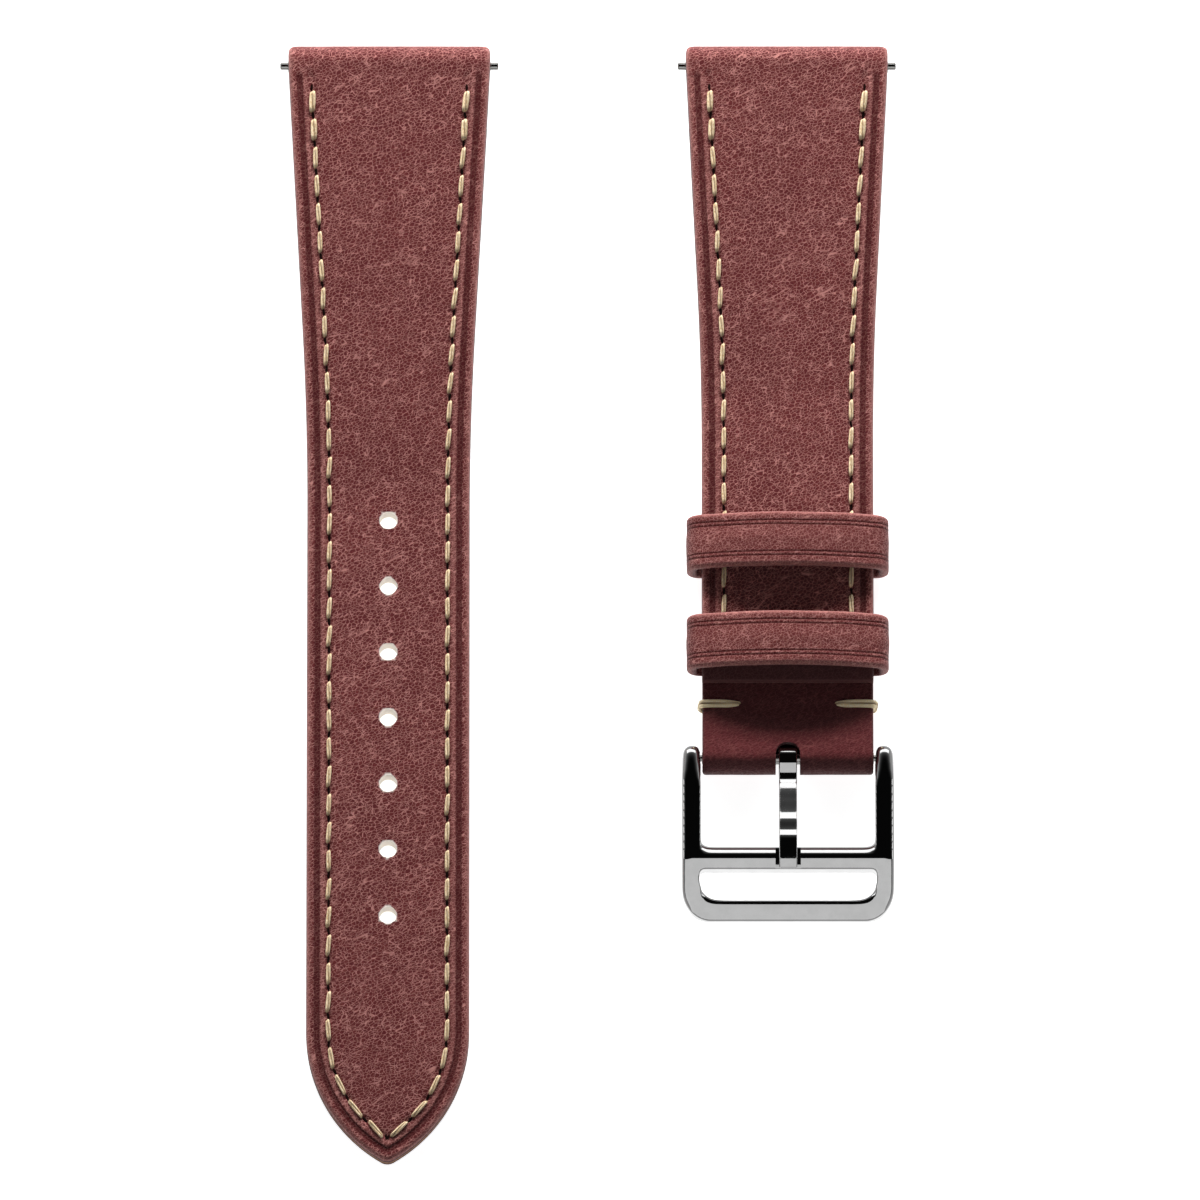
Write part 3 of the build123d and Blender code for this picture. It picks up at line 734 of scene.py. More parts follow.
# %% [markdown]
# ## Seams come first
#
# The stitches and the dents around them must agree, so the seam is laid out before the
# leather. A row runs at one distance from the edge. On the tail half both rows meet in a V at
# the point. The pitch is trimmed a little so that a whole number of stitches fits.

# %% Lay out the seams
STITCH_PITCH = 2.87
ROW_TOP = -2.65
SHORT_ROW_STITCHES = 20


def lay_seam(half):
    """The right-hand row, from its far end up to the lug end, in mm."""
    line, last_y = [], ROW_TOP - SHORT_ROW_STITCHES * STITCH_PITCH
    if "tip" in half:
        row_r, last_y = ARCH_R - STITCH_INSET, ARCH_START
        line = arc((-ARCH_INSET, ARCH_START), row_r, -math.acos(ARCH_INSET / row_r), 0, 60)[:-1]
    places = [last_y + (ROW_TOP - last_y) * i / 300 for i in range(301)]
    line += [(half_width(y, half) - STITCH_INSET, y) for y in places]
    run = run_lengths(line)
    count = round(run[-1] / STITCH_PITCH)
    print(half["name"], "stitches in a row", count)
    return dict(line=line, y=np.array(line)[:, 1], run=run, count=count,
                pitch=float(run[-1]) / count)


for half in (TAIL, SHORT):
    half["seam"] = lay_seam(half)

# %% Build the leather from its ribs
def leather_shell(name, ribs, half, top_at, floor_at, finish, columns=EDGE_COLUMNS,
                  roll=EDGE_ROLL, side_steps=SIDE_STEPS, pressed=True):
    """A closed piece of leather: top, rolled edge, painted side and underside, both halves."""
    points, marks = [], []
    for edge_x, edge_y, (way_x, way_y), length in ribs:
        top_edge, floor_edge = top_at(edge_y), floor_at(edge_y)
        thick = max(0.0, top_edge - floor_edge)
        top_roll, foot_roll = min(roll, thick * 0.45), min(0.16, thick * 0.3)
        for inset in reversed(columns):
            d = min(inset, length)
            x, y = edge_x + way_x * d, edge_y + way_y * d
            z, mark = top_at(y) - edge_drop(d, top_roll), (0.0, 0.0, 0.0, 0.0)
            if pressed:
                rise = relief(x, y, d, half) * min(1.0, d / roll)
                if y > -1.0 or thick < 0.8:
                    rise *= min(1.0, thick / 4.0)
                z += rise
                # Crease, rub (partly painted highlight), paint, and shaved, which is painted
                # shadow near the short upper's end.
                mark = (crease_share(d, y, half), rub_and_highlight_share(d, y, half), 0.0,
                        shaved_end_and_painted_shadow(y, half))
            points.append((x, y, z))
            marks.append(mark)
        high, low = top_edge - top_roll, floor_edge + foot_roll
        for i in range(1, side_steps + 1):
            share = i / (side_steps + 1)
            bulge = 0.05 * math.sin(math.pi * share) * min(1.0, thick)
            points.append((edge_x - way_x * bulge, edge_y - way_y * bulge,
                           high + (low - high) * share))
            marks.append((0.0, 0.0, 1.0, 0.0))
        for inset in FLOOR_COLUMNS:
            d = min(inset, length)
            points.append((edge_x + way_x * d, edge_y + way_y * d,
                           floor_edge + edge_drop(d, foot_roll)))
            marks.append((0.0, 0.0, float(inset < 0.2), 0.0))
    rows, right = len(ribs), len(points)
    count = right // rows
    strip = skin(rows, count, ring=False)
    faces = strip + [tuple(right + k for k in face) for face in strip]
    for i in (0, rows - 1):
        if ribs[i][0] > TIP_R:
            ring = list(range(i * count, (i + 1) * count))
            faces.append(tuple(ring + [right + k for k in reversed(ring[1:-1])]))
    points += [(-x, y, z) for x, y, z in points]
    return make_piece(name, points, faces, half["place"], finish, marks * 2)


print("shell builder ready")

# %% [markdown]
# ## Upper and lining leathers
#
# The upper leather is one skin: it covers the top, folds round the lug bar and comes back
# under as a short flap. The lining is a second skin below. The short half's upper stops short
# of the buckle and is shaved thin there, so it leaves a low step above the buckle tab; its end
# is darkened as painted shadow of the fixed keeper. Holes are punched through both skins of
# the tail with a boolean once the shells are closed, and their walls show raw hide, painted
# near-white as light from the glowing table below.

# %% Heights and ribs of the shells
RIB_STEP = 0.3
LINING_STEP = 0.6
LINING_COLUMNS = [0, 0.04, 0.12, 0.3, 1.0, 3.0, 5.0, 6.8, 7.15, 7.5, 8.0, 9.0, 10.0]
UPPER_SKIVE = 3.0
SKIVE_DEPTH = 0.7
END_ROUND = 0.15
TAB_START = -53.4


def upper_floor(y):
    if y > 0:
        return LUG_BAR_Z - bar_round(y)
    return 0.0 if y > FLAP_END else LINING_T


def short_upper_top(y):
    """The top falls by the shaved part near the upper's end."""
    share = min(1.0, max(0.0, (SHORT["end"] + UPPER_SKIVE - y) / UPPER_SKIVE))
    return (SHORT["top"](y) - SKIVE_DEPTH * share ** 1.4
            - max(0.0, SHORT["end"] + END_ROUND - y))


def upper_ribs(half, last):
    return (nose_ribs(half) + straight_ribs(half, 0, FLAP_END + 0.02, RIB_STEP)
            + straight_ribs(half, FLAP_END, last, RIB_STEP))


def lining_shell(half, last, end_ribs=()):
    ribs = [*straight_ribs(half, FLAP_END - 0.05, last, LINING_STEP), *end_ribs]
    return leather_shell(half["name"] + "_lining_leather", ribs, half,
                         lambda y: LINING_T - 0.01, lambda y: 0.0, lining_leather,
                         LINING_COLUMNS, roll=0.14, side_steps=3, pressed=False)


# %% Make the shells
tail_upper = leather_shell(
    "tail_upper_leather", upper_ribs(TAIL, ARCH_START) + point_ribs(RIB_STEP), TAIL,
    TAIL["top"], upper_floor, strap_leather)
tail_lining = lining_shell(TAIL, ARCH_START, point_ribs(LINING_STEP))
short_upper = leather_shell(
    "short_upper_leather",
    upper_ribs(SHORT, SHORT["end"] + 2 * END_ROUND)
    + straight_ribs(SHORT, SHORT["end"] + END_ROUND, SHORT["end"], 0.05),
    SHORT, short_upper_top, upper_floor, strap_leather)
short_lining = lining_shell(SHORT, TAB_START + 0.02)

# %% Punch the holes and bore the lug tunnels
def mark_points(piece, key, place, value_at):
    """Keeps a mark that depends on each point's place in mm within its half."""
    back = place.inverted()
    keep_mark(piece.data, key, [value_at(back @ (v.co / MM)) for v in piece.data.vertices])


def on_hole_wall(spot):
    return any(math.hypot(spot.x - x, spot.y - y) < HOLE_R + 0.02 for x, y in HOLES)


def punches():
    return [prism(circle(spot, HOLE_R), -2, 6, "Z", TAIL_PLACE, "punch") for spot in HOLES]


def tunnel(half):
    return prism(circle((0, LUG_BAR_Z), TUNNEL_R), -12, 12, "X", half["place"], "tunnel")


carve(tail_upper, punches() + [tunnel(TAIL)])
carve(tail_lining, punches())
carve(short_upper, [tunnel(SHORT)])
# The hole walls get the raw mark: raw hide painted near-white as light from the table.
for piece in (tail_upper, tail_lining):
    mark_points(piece, "raw", TAIL_PLACE, on_hole_wall)
    print("holes in", piece.name, len(HOLES))

# %% [markdown]
# ## Stitches
#
# A saddle stitch is two plies of waxed linen that rise out of one needle hole, lie in the
# channel and dive into the next, so it looks like a small twisted lens. One stitch is made as
# two helical tubes. A Geometry Nodes tree then walks along the seam at the pitch, turns each
# copy a little, and makes the first two at the lug end thicker, as on the strap, where the
# thread runs twice.

# %% One stitch
STITCH_LENGTH = 2.1
STITCH_RINGS = 17
STITCH_PLY_R = 0.128
STITCH_TWIST = 0.11
PLY_SIDES = 10
PLY_GAP = 0.82


def way_along(path, i):
    """The direction of a path at one of its points."""
    return (path[min(i + 1, len(path) - 1)] - path[max(i - 1, 0)]).normalized()


def tube_along(centres, radii, sides):
    """Points and faces of a tube along centres, its ends closed."""
    points, centres = [], [Vector(c) for c in centres]
    side = way_along(centres, 0).orthogonal()
    for i, (centre, radius) in enumerate(zip(centres, radii)):
        ahead = way_along(centres, i)
        side = (side - ahead * side.dot(ahead)).normalized()
        up = ahead.cross(side)
        for x, y in circle((0, 0), radius, sides):
            points.append(tuple(centre + side * x + up * y))
    return points, capped(len(centres), sides)


def two_plies(paths, ply_r, twists, swell):
    """Two plies round each path, twisted by turns per mm. swell is the thickness along it."""
    points, faces = [], []
    for path, twist in zip(paths, twists):
        path, runs = [Vector(p) for p in path], run_lengths(path)
        for phase in (0.0, math.pi):
            centres = []
            for i, spot in enumerate(path):
                ahead = way_along(path, i)
                side = ahead.cross(Vector((0, 0, 1)))
                side = (side if side.length > 0.05 else ahead.orthogonal()).normalized()
                turn = phase + (runs[i] - runs[-1] / 2) * twist * math.tau
                away = side * math.cos(turn) + side.cross(ahead) * math.sin(turn)
                centres.append(spot + away * ply_r * swell[i] * PLY_GAP)
            more, skins = tube_along(centres, [ply_r * share for share in swell], PLY_SIDES)
            faces += [tuple(k + len(points) for k in face) for face in skins]
            points += more
    return points, faces


def stitch_mesh():
    """One stitch at the origin along y, marked for painted shade deep between its plies."""
    steps = [2 * i / (STITCH_RINGS - 1) - 1 for i in range(STITCH_RINGS)]
    dives = [0.3 * abs(t) ** 11 for t in steps]
    path = [(0, t * STITCH_LENGTH / 2, 0.1 - dive) for t, dive in zip(steps, dives)]
    swell = [0.9 + 0.1 * math.cos(math.pi / 2 * t) - dive for t, dive in zip(steps, dives)]
    stitch = make_piece("one_stitch", *two_plies([path], STITCH_PLY_R, [STITCH_TWIST], swell),
                        PLAIN, thread)

    def depth(spot):
        height = np.interp(spot.y, [p[1] for p in path], [p[2] for p in path])
        return 1 - soft_step(math.hypot(spot.x, spot.z - height), 0.06, 0.16)

    mark_points(stitch, "between", PLAIN, depth)
    return stitch


one_stitch = stitch_mesh()

# %% [markdown]
# ### Needle holes
#
# Between two stitches the awl leaves a small slit that looks black, as its inside lies in
# shade. Cutting 120 slits out of the leather would tear its grid, so each is a tiny dark lens of
# painted shade that sits in the dent, and the same tree sets them out, from the row's first hole
# on.

# %% One needle hole
SLIT_HALVES = (0.15, 0.4)
SLIT_RINGS = ((0.0, 0.02), (0.5, 0.035), (0.8, 0.015), (1.0, -0.06))
SLIT_SIDES = 12


def needle_slit():
    """A flat lens of rings, each a share of the slit's size at a height."""
    points = [(SLIT_HALVES[0] * x, SLIT_HALVES[1] * y, z) for share, z in SLIT_RINGS
              for x, y in circle((0, 0), share, SLIT_SIDES)]
    return make_piece("one_needle_slit", points, capped(len(SLIT_RINGS), SLIT_SIDES), PLAIN,
                      slit_dark)


one_slit = needle_slit()

# %% The seam tree
SEAM_INPUTS = dict(Copy="Object", Count="Int", Start="Float", End="Float", Least_Turn="Float",
                   Most_Turn="Float", Seed="Int")


def seam_tree():
    """Copies one piece along a line, at a pitch, with a small random turn."""
    tree = bpy.data.node_groups.new("seam", "GeometryNodeTree")
    for label, kind in {"Geometry": "Geometry", **SEAM_INPUTS}.items():
        tree.interface.new_socket(label, in_out="INPUT", socket_type="NodeSocket" + kind)
    tree.interface.new_socket("Geometry", in_out="OUTPUT", socket_type="NodeSocketGeometry")

    def step(kind, result, values=None, **settings):
        return add_node(tree, kind, values, **settings).outputs[result]

    given = tree.nodes.new("NodeGroupInput").outputs
    curve = step("GeometryNodeMeshToCurve", "Curve", {"Mesh": given["Geometry"]})
    curve = step("GeometryNodeTrimCurve", "Curve",
                 {"Curve": curve, 4: given["Start"], 5: given["End"]}, mode="LENGTH")
    spots = step("GeometryNodeResampleCurve", "Curve",
                 {"Curve": curve, "Count": given["Count"]}, mode="COUNT")
    ahead = step("GeometryNodeInputTangent", "Tangent")
    facing = step("FunctionNodeAlignRotationToVector", "Rotation", {"Vector": ahead}, axis="Y")
    chance = step("FunctionNodeRandomValue", 1, {
        2: given["Least_Turn"], 3: given["Most_Turn"], "Seed": given["Seed"]},
        data_type="FLOAT")
    spin = step("ShaderNodeCombineXYZ", "Vector", {"Z": chance})
    spin = step("FunctionNodeEulerToRotation", "Rotation", {"Euler": spin})
    turned = step("FunctionNodeRotateRotation", "Rotation",
                  {"Rotation": facing, "Rotate By": spin}, rotation_space="LOCAL")
    fat = step("GeometryNodeInputNamedAttribute", "Attribute", {"Name": "fat"},
               data_type="FLOAT")
    size = step("ShaderNodeCombineXYZ", "Vector", {"X": fat, "Y": 1.0, "Z": fat})
    pattern = step("GeometryNodeObjectInfo", "Geometry", {"Object": given["Copy"]})
    copies = step("GeometryNodeInstanceOnPoints", "Instances", {
        "Points": spots, "Instance": pattern, "Rotation": turned, "Scale": size})
    real = step("GeometryNodeRealizeInstances", "Geometry", {"Geometry": copies})
    add_node(tree, "NodeGroupOutput", {"Geometry": real})
    return tree


seam_walk = seam_tree()
socket_of = {item.name: item.identifier for item in seam_walk.interface.items_tree
             if item.in_out == "INPUT"}
print("seam inputs", sorted(socket_of))

# %% Run the tree along the rows
DOUBLE_THREAD = 1.38


def rows_of(name, half, sink, fat_from):
    """Both rows as chains of edges, with the thread's thickness kept on the points."""
    line, points, edges, fat = half["seam"]["line"], [], [], []
    for side in (1, -1):
        edges += [(len(points) + i, len(points) + i + 1) for i in range(len(line) - 1)]
        points += [(side * x, y, half["top"](y) - sink) for x, y in line]
        fat += [DOUBLE_THREAD if y > fat_from else 1.0 for _, y in line]
    mesh = bpy.data.meshes.new(name)
    mesh.from_pydata([tuple(half["place"] @ Vector(p) * MM) for p in points], edges, [])
    keep_mark(mesh, "fat", fat)
    return add_object(name, mesh)


def sew(half, seed, name, pattern, sink, fat_from, spare, turns):
    """Sets copies out along both rows, from a share of the pitch behind each end."""
    rows, seam = rows_of(half["name"] + name, half, sink, fat_from), half["seam"]
    shift = spare * seam["pitch"]
    walker = rows.modifiers.new("seam", "NODES")
    walker.node_group = seam_walk
    for label, value in dict(
            Copy=pattern, Seed=seed, Count=seam["count"] + 1 - round(2 * spare),
            Start=shift * MM, End=(float(seam["run"][-1]) - shift) * MM,
            Least_Turn=math.radians(turns[0]), Most_Turn=math.radians(turns[1])).items():
        walker[socket_of[label]] = value
    settle(rows).shade_smooth()
    print(rows.name, len(rows.data.polygons), "faces")
    return rows


STITCHING = dict(name="_linen_stitches", pattern=one_stitch, sink=0.05, fat_from=-8.0,
                 spare=0.5, turns=(-7.0, 1.5))
SLITS = dict(name="_needle_slits", pattern=one_slit, sink=0.13, fat_from=math.inf,
             spare=0.0, turns=(-14.0, 14.0))
tail_stitches, short_stitches = sew(TAIL, 11, **STITCHING), sew(SHORT, 5, **STITCHING)
tail_slits, short_slits = sew(TAIL, 3, **SLITS), sew(SHORT, 4, **SLITS)
for pattern in (one_stitch, one_slit):
    bpy.data.objects.remove(pattern)

# %% [markdown]
# ## The buckle tab
#
# A thinner strip is folded round the buckle bar and glued back under the fixed keeper. It is
# one band: an outer line and an inner line in the side view, and across the band the same
# rolled edges as the strap. The slot for the tongue is cut last.

# %% Fold the tab
TAB_T = 0.9
TAB_HALF = 8.45
TAB_LOOP_R = 1.65
TAB_BORE_R = 0.75
PINCH = -66.15
# The turned-back end's corners: place along the strap, outer height and inner height.
TURN_BACK = ((PINCH, -TAB_T, 0.0), (-65.15, -TAB_T, 0.0), (-62.65, -1.2, -0.5),
             (-56.75, -1.2, -0.5), (-55.5, -0.7, 0.0), (-54.9, -0.4, 0.0))
TURN_BACK_STEPS = (4, 8, 12, 5, 3)
SOFTENING = 4
TAB_COLUMNS = [(0.0, 0.5), (0.0, 0.62), (0.025, 0.78), (0.09, 0.91), (0.2, 0.98), (0.35, 1.0)]


def tab_line(level, loop_r, corners):
    """One side of the tab, from the upper's end round the bar and back, with soft corners."""
    pinch = (PINCH, level)
    turn = turn_to(BUCKLE_BAR, pinch) + math.acos(loop_r / math.dist(pinch, BUCKLE_BAR))
    loop = arc(BUCKLE_BAR, loop_r, turn, math.tau - turn, 40)
    line = between((TAB_START, level), pinch, 44) + between(pinch, loop[0], 16) + loop
    line += between(loop[-1], corners[0], 16)[1:]
    for start, end, steps in zip(corners, corners[1:], TURN_BACK_STEPS):
        line += between(start, end, steps)
    line = [Vector(p) for p in (*line, corners[-1])]
    for _ in range(SOFTENING):
        line[1:-1] = [(a + 2 * b + c) / 4 for a, b, c in zip(line, line[1:], line[2:])]
    return line


def tab_section():
    """Across the band: (x, share of thickness), going round the closed section."""
    edge = [(TAB_HALF - inset, share) for inset, share in TAB_COLUMNS]
    top = edge + between(edge[-1], (-edge[-1][0], 1.0), 42)[1:] + mirrored(edge)
    return top + [(x, 1 - share) for x, share in reversed(top[1:-1])]


def fold_tab():
    outer = tab_line(TAB_T, TAB_LOOP_R, [(y, low) for y, low, _ in TURN_BACK])
    inner = tab_line(0.0, TAB_BORE_R, [(y, high) for y, _, high in TURN_BACK])
    section, points = tab_section(), []
    for k, (out, core) in enumerate(zip(outer, inner)):
        way = (out - core).normalized()
        for x, share in section:
            wave = 0.02 * noise.noise(Vector((x * 0.35, k * 0.28, 2.0))) * share
            points.append((x, *(core.lerp(out, share) + way * wave)))
    return make_piece("buckle_tab_leather", points, capped(len(outer), len(section)),
                      SHORT_PLACE, tab_leather)


buckle_tab = fold_tab()

# %% Cut the tongue's slot
SLOT_HALF = 1.2
SLOT_TOP = -69.72
SLOT_R = 1.12

slot_side = [(SLOT_HALF, -74.0)] + arc((SLOT_HALF - SLOT_R, SLOT_TOP - SLOT_R), SLOT_R, 0,
                                       math.pi / 2, 8)
carve(buckle_tab, [prism(slot_side + mirrored(slot_side), -4, 4, "Z", SHORT_PLACE, "slot")])
print("tab", len(buckle_tab.data.polygons), "faces")

# %% [markdown]
# ### Bar tacks
#
# Two thick wraps of thread hold the fold at its edges. Each comes up through a needle hole,
# lies across to the edge, goes round it and back underneath. It is a twisted cord on a path
# with rounded corners.

# %% Wrap the tacks
TACK_Y = -65.65
TACK_INNER = 4.75
TACK_BEND = 0.35
TACK_PLY_R = 0.225
TACK_TWIST = 0.03
TACK_ENDS = [0.3, 0.45, 0.6, 0.74, 0.84, 0.92, 0.97, 1.0]


def tack_path():
    """Up through the hole, across the top, round the edge and back underneath, in (x, z)."""
    top, edge = TAB_T + 0.13, TAB_HALF + 0.13
    low = top - TACK_BEND
    path = [(TACK_INNER - 0.05, 0.2), (TACK_INNER, TAB_T - 0.15),
            (TACK_INNER + 0.12, TAB_T + 0.02)]
    path += between((TACK_INNER + 0.4, top), (edge - TACK_BEND, top), 12)
    path += arc((edge - TACK_BEND, low), TACK_BEND, math.pi / 2, 0, 5)
    path += between((edge, low), (edge, 0), 5)[1:]
    return path + [(edge, 0)] + [(x, -z) for x, z in reversed(path)]


def wrap_tacks():
    paths = [[(side * x, TACK_Y + 0.02 * math.sin(2 * x), z) for x, z in tack_path()]
             for side in (1, -1)]
    swell = TACK_ENDS + [1.0] * (len(paths[0]) - 2 * len(TACK_ENDS)) + TACK_ENDS[::-1]
    made = make_piece("bar_tack_thread", *two_plies(
        paths, TACK_PLY_R, (TACK_TWIST, -TACK_TWIST), swell), SHORT_PLACE, tack_thread_painted_light)
    # Painted shade deep between the tack's plies.
    mark_points(made, "between", SHORT_PLACE,
                lambda spot: 1 - soft_step(abs(spot.y - TACK_Y), 0.02, 0.13))
    made.data.shade_smooth()
    return made


tacks = wrap_tacks()

# %% [markdown]
# ## Keepers
#
# A keeper is a strip bent into a flat loop, creased twice along both edges. The loop's outer
# and inner lines come from the CAD sizes; the band's section is a rolled rectangle with the
# creases pressed into it.

# %% Lines of a keeper's loop
KEEPER_HALF = 10.0
KEEPER_T = 1.0
KEEPER_BAND = 5.5
KEEPER_TOP = 4.45
OUTER_BENDS = (32.0, 1.7, 1.3)
INNER_BENDS = (31.0, 0.7, 0.5)


def loop_line(half, foot, top, crown_r, shoulder_r, foot_r):
    """A whole loop in (x, z), from the crown's middle round by the right."""
    quarter, low = math.pi / 2, foot + foot_r
    crown_z, shoulder_x = top - crown_r, half - shoulder_r
    shoulder_z = crown_z + math.sqrt((crown_r - shoulder_r) ** 2 - shoulder_x ** 2)
    meet = math.atan2(shoulder_z - crown_z, shoulder_x)
    side = arc((0, crown_z), crown_r, quarter, meet, 24)[:-1]
    side += arc((shoulder_x, shoulder_z), shoulder_r, meet, 0, 12)[:-1]
    side += between((half, shoulder_z), (half, low), 5)
    side += arc((half - foot_r, low), foot_r, 0, -quarter, 9)[:-1]
    side += between((half - foot_r, foot), (0, foot), 20)
    return side + [(0, foot)] + mirrored(side[1:])


print("points round a keeper", len(loop_line(KEEPER_HALF, -0.5, KEEPER_TOP, *OUTER_BENDS)))

# %% Section of the band
BAND_ROLL = 0.42
BAND_CREASES = (0.95, 1.36)
BAND_CREASE = (0.14, 0.06)


def band_marks(v):
    """Extra height, crease, and the lighter rolled edge of the band's outer side (partly wear,
    partly painted highlight), at a place across it.
    """
    inset = KEEPER_BAND / 2 - abs(v)
    away = [abs(inset - line) for line in BAND_CREASES]
    rise = sum(groove(gap, *BAND_CREASE) for gap in away) + 0.05 * soft_step(inset, 1.5, 2.7)
    return rise, max(0.0, 1 - min(away) / 0.13), 0.6 * max(0.0, 1 - inset / 0.55)


def band_section():
    """Round the band: (place along the strap, share of thickness, extra height, crease, rub)."""
    half = KEEPER_BAND / 2
    top = arc((half - BAND_ROLL, 1 - BAND_ROLL), BAND_ROLL, 0, math.pi / 2, 6)
    top += between((half - BAND_ROLL, 1.0), (0.0, 1.0), 33)[1:]
    under = [(half / 2, 0.0), (half - 0.25, 0.0), (half - 0.06, 0.1), (half, 0.3)]
    outer = top + [(0.0, 1.0)] + mirrored(top)
    return ([(v, share, *band_marks(v)) for v, share in outer]
            + [(v, share, 0.0, 0.0, 0.0) for v, share in mirrored(under) + [(0.0, 0.0)] + under])


def make_keeper(name, middle_y, foot, foot_t):
    """A keeper at a place along the strap, with its inner foot's height and thickness."""
    outer = loop_line(KEEPER_HALF, foot - foot_t, KEEPER_TOP, *OUTER_BENDS)
    inner = loop_line(KEEPER_HALF - KEEPER_T, foot, KEEPER_TOP - KEEPER_T, *INNER_BENDS)
    section, points, marks = band_section(), [], []
    for out, core in zip(map(Vector, outer), map(Vector, inner)):
        way = (out - core).normalized()
        for v, share, rise, crease, rub in section:
            wave = 0.03 * noise.noise(Vector((out.x * 0.3, v * 0.8, middle_y))) * share
            edge_wave = 0.04 * noise.noise(
                Vector((out.x * 0.25, 3.0 + math.copysign(1, v), 1.0)))
            spot = core.lerp(out, share) + way * (rise + wave)
            points.append((spot.x, middle_y + v + edge_wave, spot.y))
            marks.append((crease, rub, 0.0, 0.0))
    return make_piece(name, points, skin(len(outer), len(section), loop=True), SHORT_PLACE,
                      keeper_leather, marks)


fixed_keeper = make_keeper("fixed_keeper_leather", middle_y=-59.7, foot=0.0, foot_t=0.5)
free_keeper = make_keeper("free_keeper_leather", middle_y=-49.5, foot=-0.1, foot_t=1.0)

# %% [markdown]
# ## Buckle and tongue
#
# Both are steel castings that were ground and polished, so no edge is quite sharp. The CAD
# solids have the right forms but coarse facets, which polish would show. So each is cut again
# from its side view and its plan, with many more points. A bevel stumbles over the many short
# edges at the corners, so a voxel remesh lays an even skin over the form, and relaxing that
# skin rounds its edges as a polishing wheel does, most of all the outer ones.

# %% Side views of the buckle
WINDOW_LENGTH = 9.35
CROSSBAR_END = 11.85
SLOT_END = 14.45
FRAME_REACH = 16.5
FRAME_HALF = 10.5
WINDOW_HALF = 8.6
LOOP_SLOT_HALF = 8.75
RIDGE = (-10.8, 2.75)
FOOT = (-10.0, 1.1)
NOSE = (-15.68, -0.83)
NOSE_R = 0.82
HEEL = (-16.5, -1.65)
EYE = (0.0, 0.0)
EYE_R = 1.45


def touch(point, centre, radius, side):
    """Where a line from a point touches a circle."""
    far = math.dist(point, centre)
    turn = turn_to(point, centre) + side * math.asin(radius / far)
    reach = math.sqrt(far ** 2 - radius ** 2)
    return (point[0] + reach * math.cos(turn), point[1] + reach * math.sin(turn))


def arc_between(centre, radius, start, end, steps):
    """Points on a circle from one point to another, turning left."""
    first = turn_to(centre, start)
    turn = (turn_to(centre, end) - first) % math.tau
    return arc(centre, radius, first, first + turn, steps)


def rounded(corner, before, after, radius, steps=8):
    """Points that round a corner between two straight runs."""
    corner, before, after = Vector(corner), Vector(before), Vector(after)
    a, b = (before - corner).normalized(), (after - corner).normalized()
    half = a.angle(b) / 2
    middle = corner + (a + b).normalized() * radius / math.sin(half)
    first = turn_to(middle, corner + a * radius / math.tan(half))
    turn = turn_to(middle, corner + b * radius / math.tan(half)) - first
    return arc(middle, radius, first, first + (turn + math.pi) % math.tau - math.pi, steps)


def frame_side():
    """The frame from the side: eye, leg, ridge, loop, nose and foot."""
    top, south = touch(RIDGE, EYE, EYE_R, 1), touch(RIDGE, NOSE, NOSE_R, -1)
    under = touch(FOOT, EYE, EYE_R, -1)
    fall = (south[1] - RIDGE[1]) / (south[0] - RIDGE[0])
    brow = (HEEL[0], RIDGE[1] + fall * (HEEL[0] - RIDGE[0]))
    return (rounded(RIDGE, top, south, 0.3) + rounded(brow, RIDGE, HEEL, 0.2)
            + rounded(HEEL, brow, FOOT, 0.5) + rounded(FOOT, HEEL, under, 0.3)
            + arc_between(EYE, EYE_R, under, top, 28))


def frame_plan(half, north, south, south_r, north_r=0.0):
    """A rectangle in plan with rounded corners."""
    corners = [(half, north), (half, south), (-half, south), (-half, north)]
    line = []
    for k, radius in enumerate((north_r, south_r, south_r, north_r)):
        corner, before, after = corners[k], corners[k - 1], corners[(k + 1) % 4]
        line += rounded(corner, before, after, radius, 14) if radius else [corner]
    return line


print("points of the frame's side view", len(frame_side()))

# %% Cut the frame from its views
FRAME_GRAIN = 0.1
FRAME_PASSES = 8
WORN_PASSES = 400
SOCKET_R = 0.37
SOCKET_RUNS = ((-9.9, -8.0), (8.0, 9.9))
NOTCH_HALF = 1.25
NOTCH_SIDE = [(-13.3, 2.2), (-8.3, 2.2), (-8.3, 4.0), (-13.3, 4.0)]
SLOPE_SIDE = [(-9.0, 1.3), (-10.1, 2.8), (-9.0, 2.8)]


def relax(piece, passes, group=""):
    tool = piece.modifiers.new("relax", "SMOOTH")
    tool.factor, tool.iterations, tool.vertex_group = 0.5, passes, group


def polish(piece, grain, passes, worn=None):
    """Rounds every edge evenly: an even skin of small faces, relaxed a few times."""
    even = piece.modifiers.new("even_skin", "REMESH")
    even.mode, even.voxel_size, even.use_smooth_shade = "VOXEL", grain * MM, True
    mesh = settle(piece)
    if worn:
        group = piece.vertex_groups.new(name="worn")
        for vertex in mesh.vertices:
            share = worn(vertex.co / MM - BUCKLE_PLACE.translation)
            if share > 0:
                group.add([vertex.index], share, "REPLACE")
        relax(piece, WORN_PASSES, group.name)
    relax(piece, passes)
    mesh = settle(piece)
    piece.vertex_groups.clear()
    mesh.shade_smooth()
    mesh.materials.clear()
    mesh.materials.append(buckle_steel)
    print(piece.name, len(mesh.polygons), "faces")


def frame_wear(spot):
    """How much the wheel took off: most at the leg tops, on the bars and outside."""
    outside = 0.22 * soft_step(abs(spot.x), FRAME_HALF - 1.0, FRAME_HALF - 0.5)
    leg_top = soft_step(spot.y, -3.5, 0.7)
    crossbar = 0.6 * (1 - soft_step(abs(spot.y + WINDOW_LENGTH), 0.8, 1.1))
    end_bar = 1 - soft_step(abs(spot.y + SLOT_END), 0.8, 1.1)
    return max(outside, leg_top, max(crossbar, end_bar) * (abs(spot.x) < WINDOW_HALF))


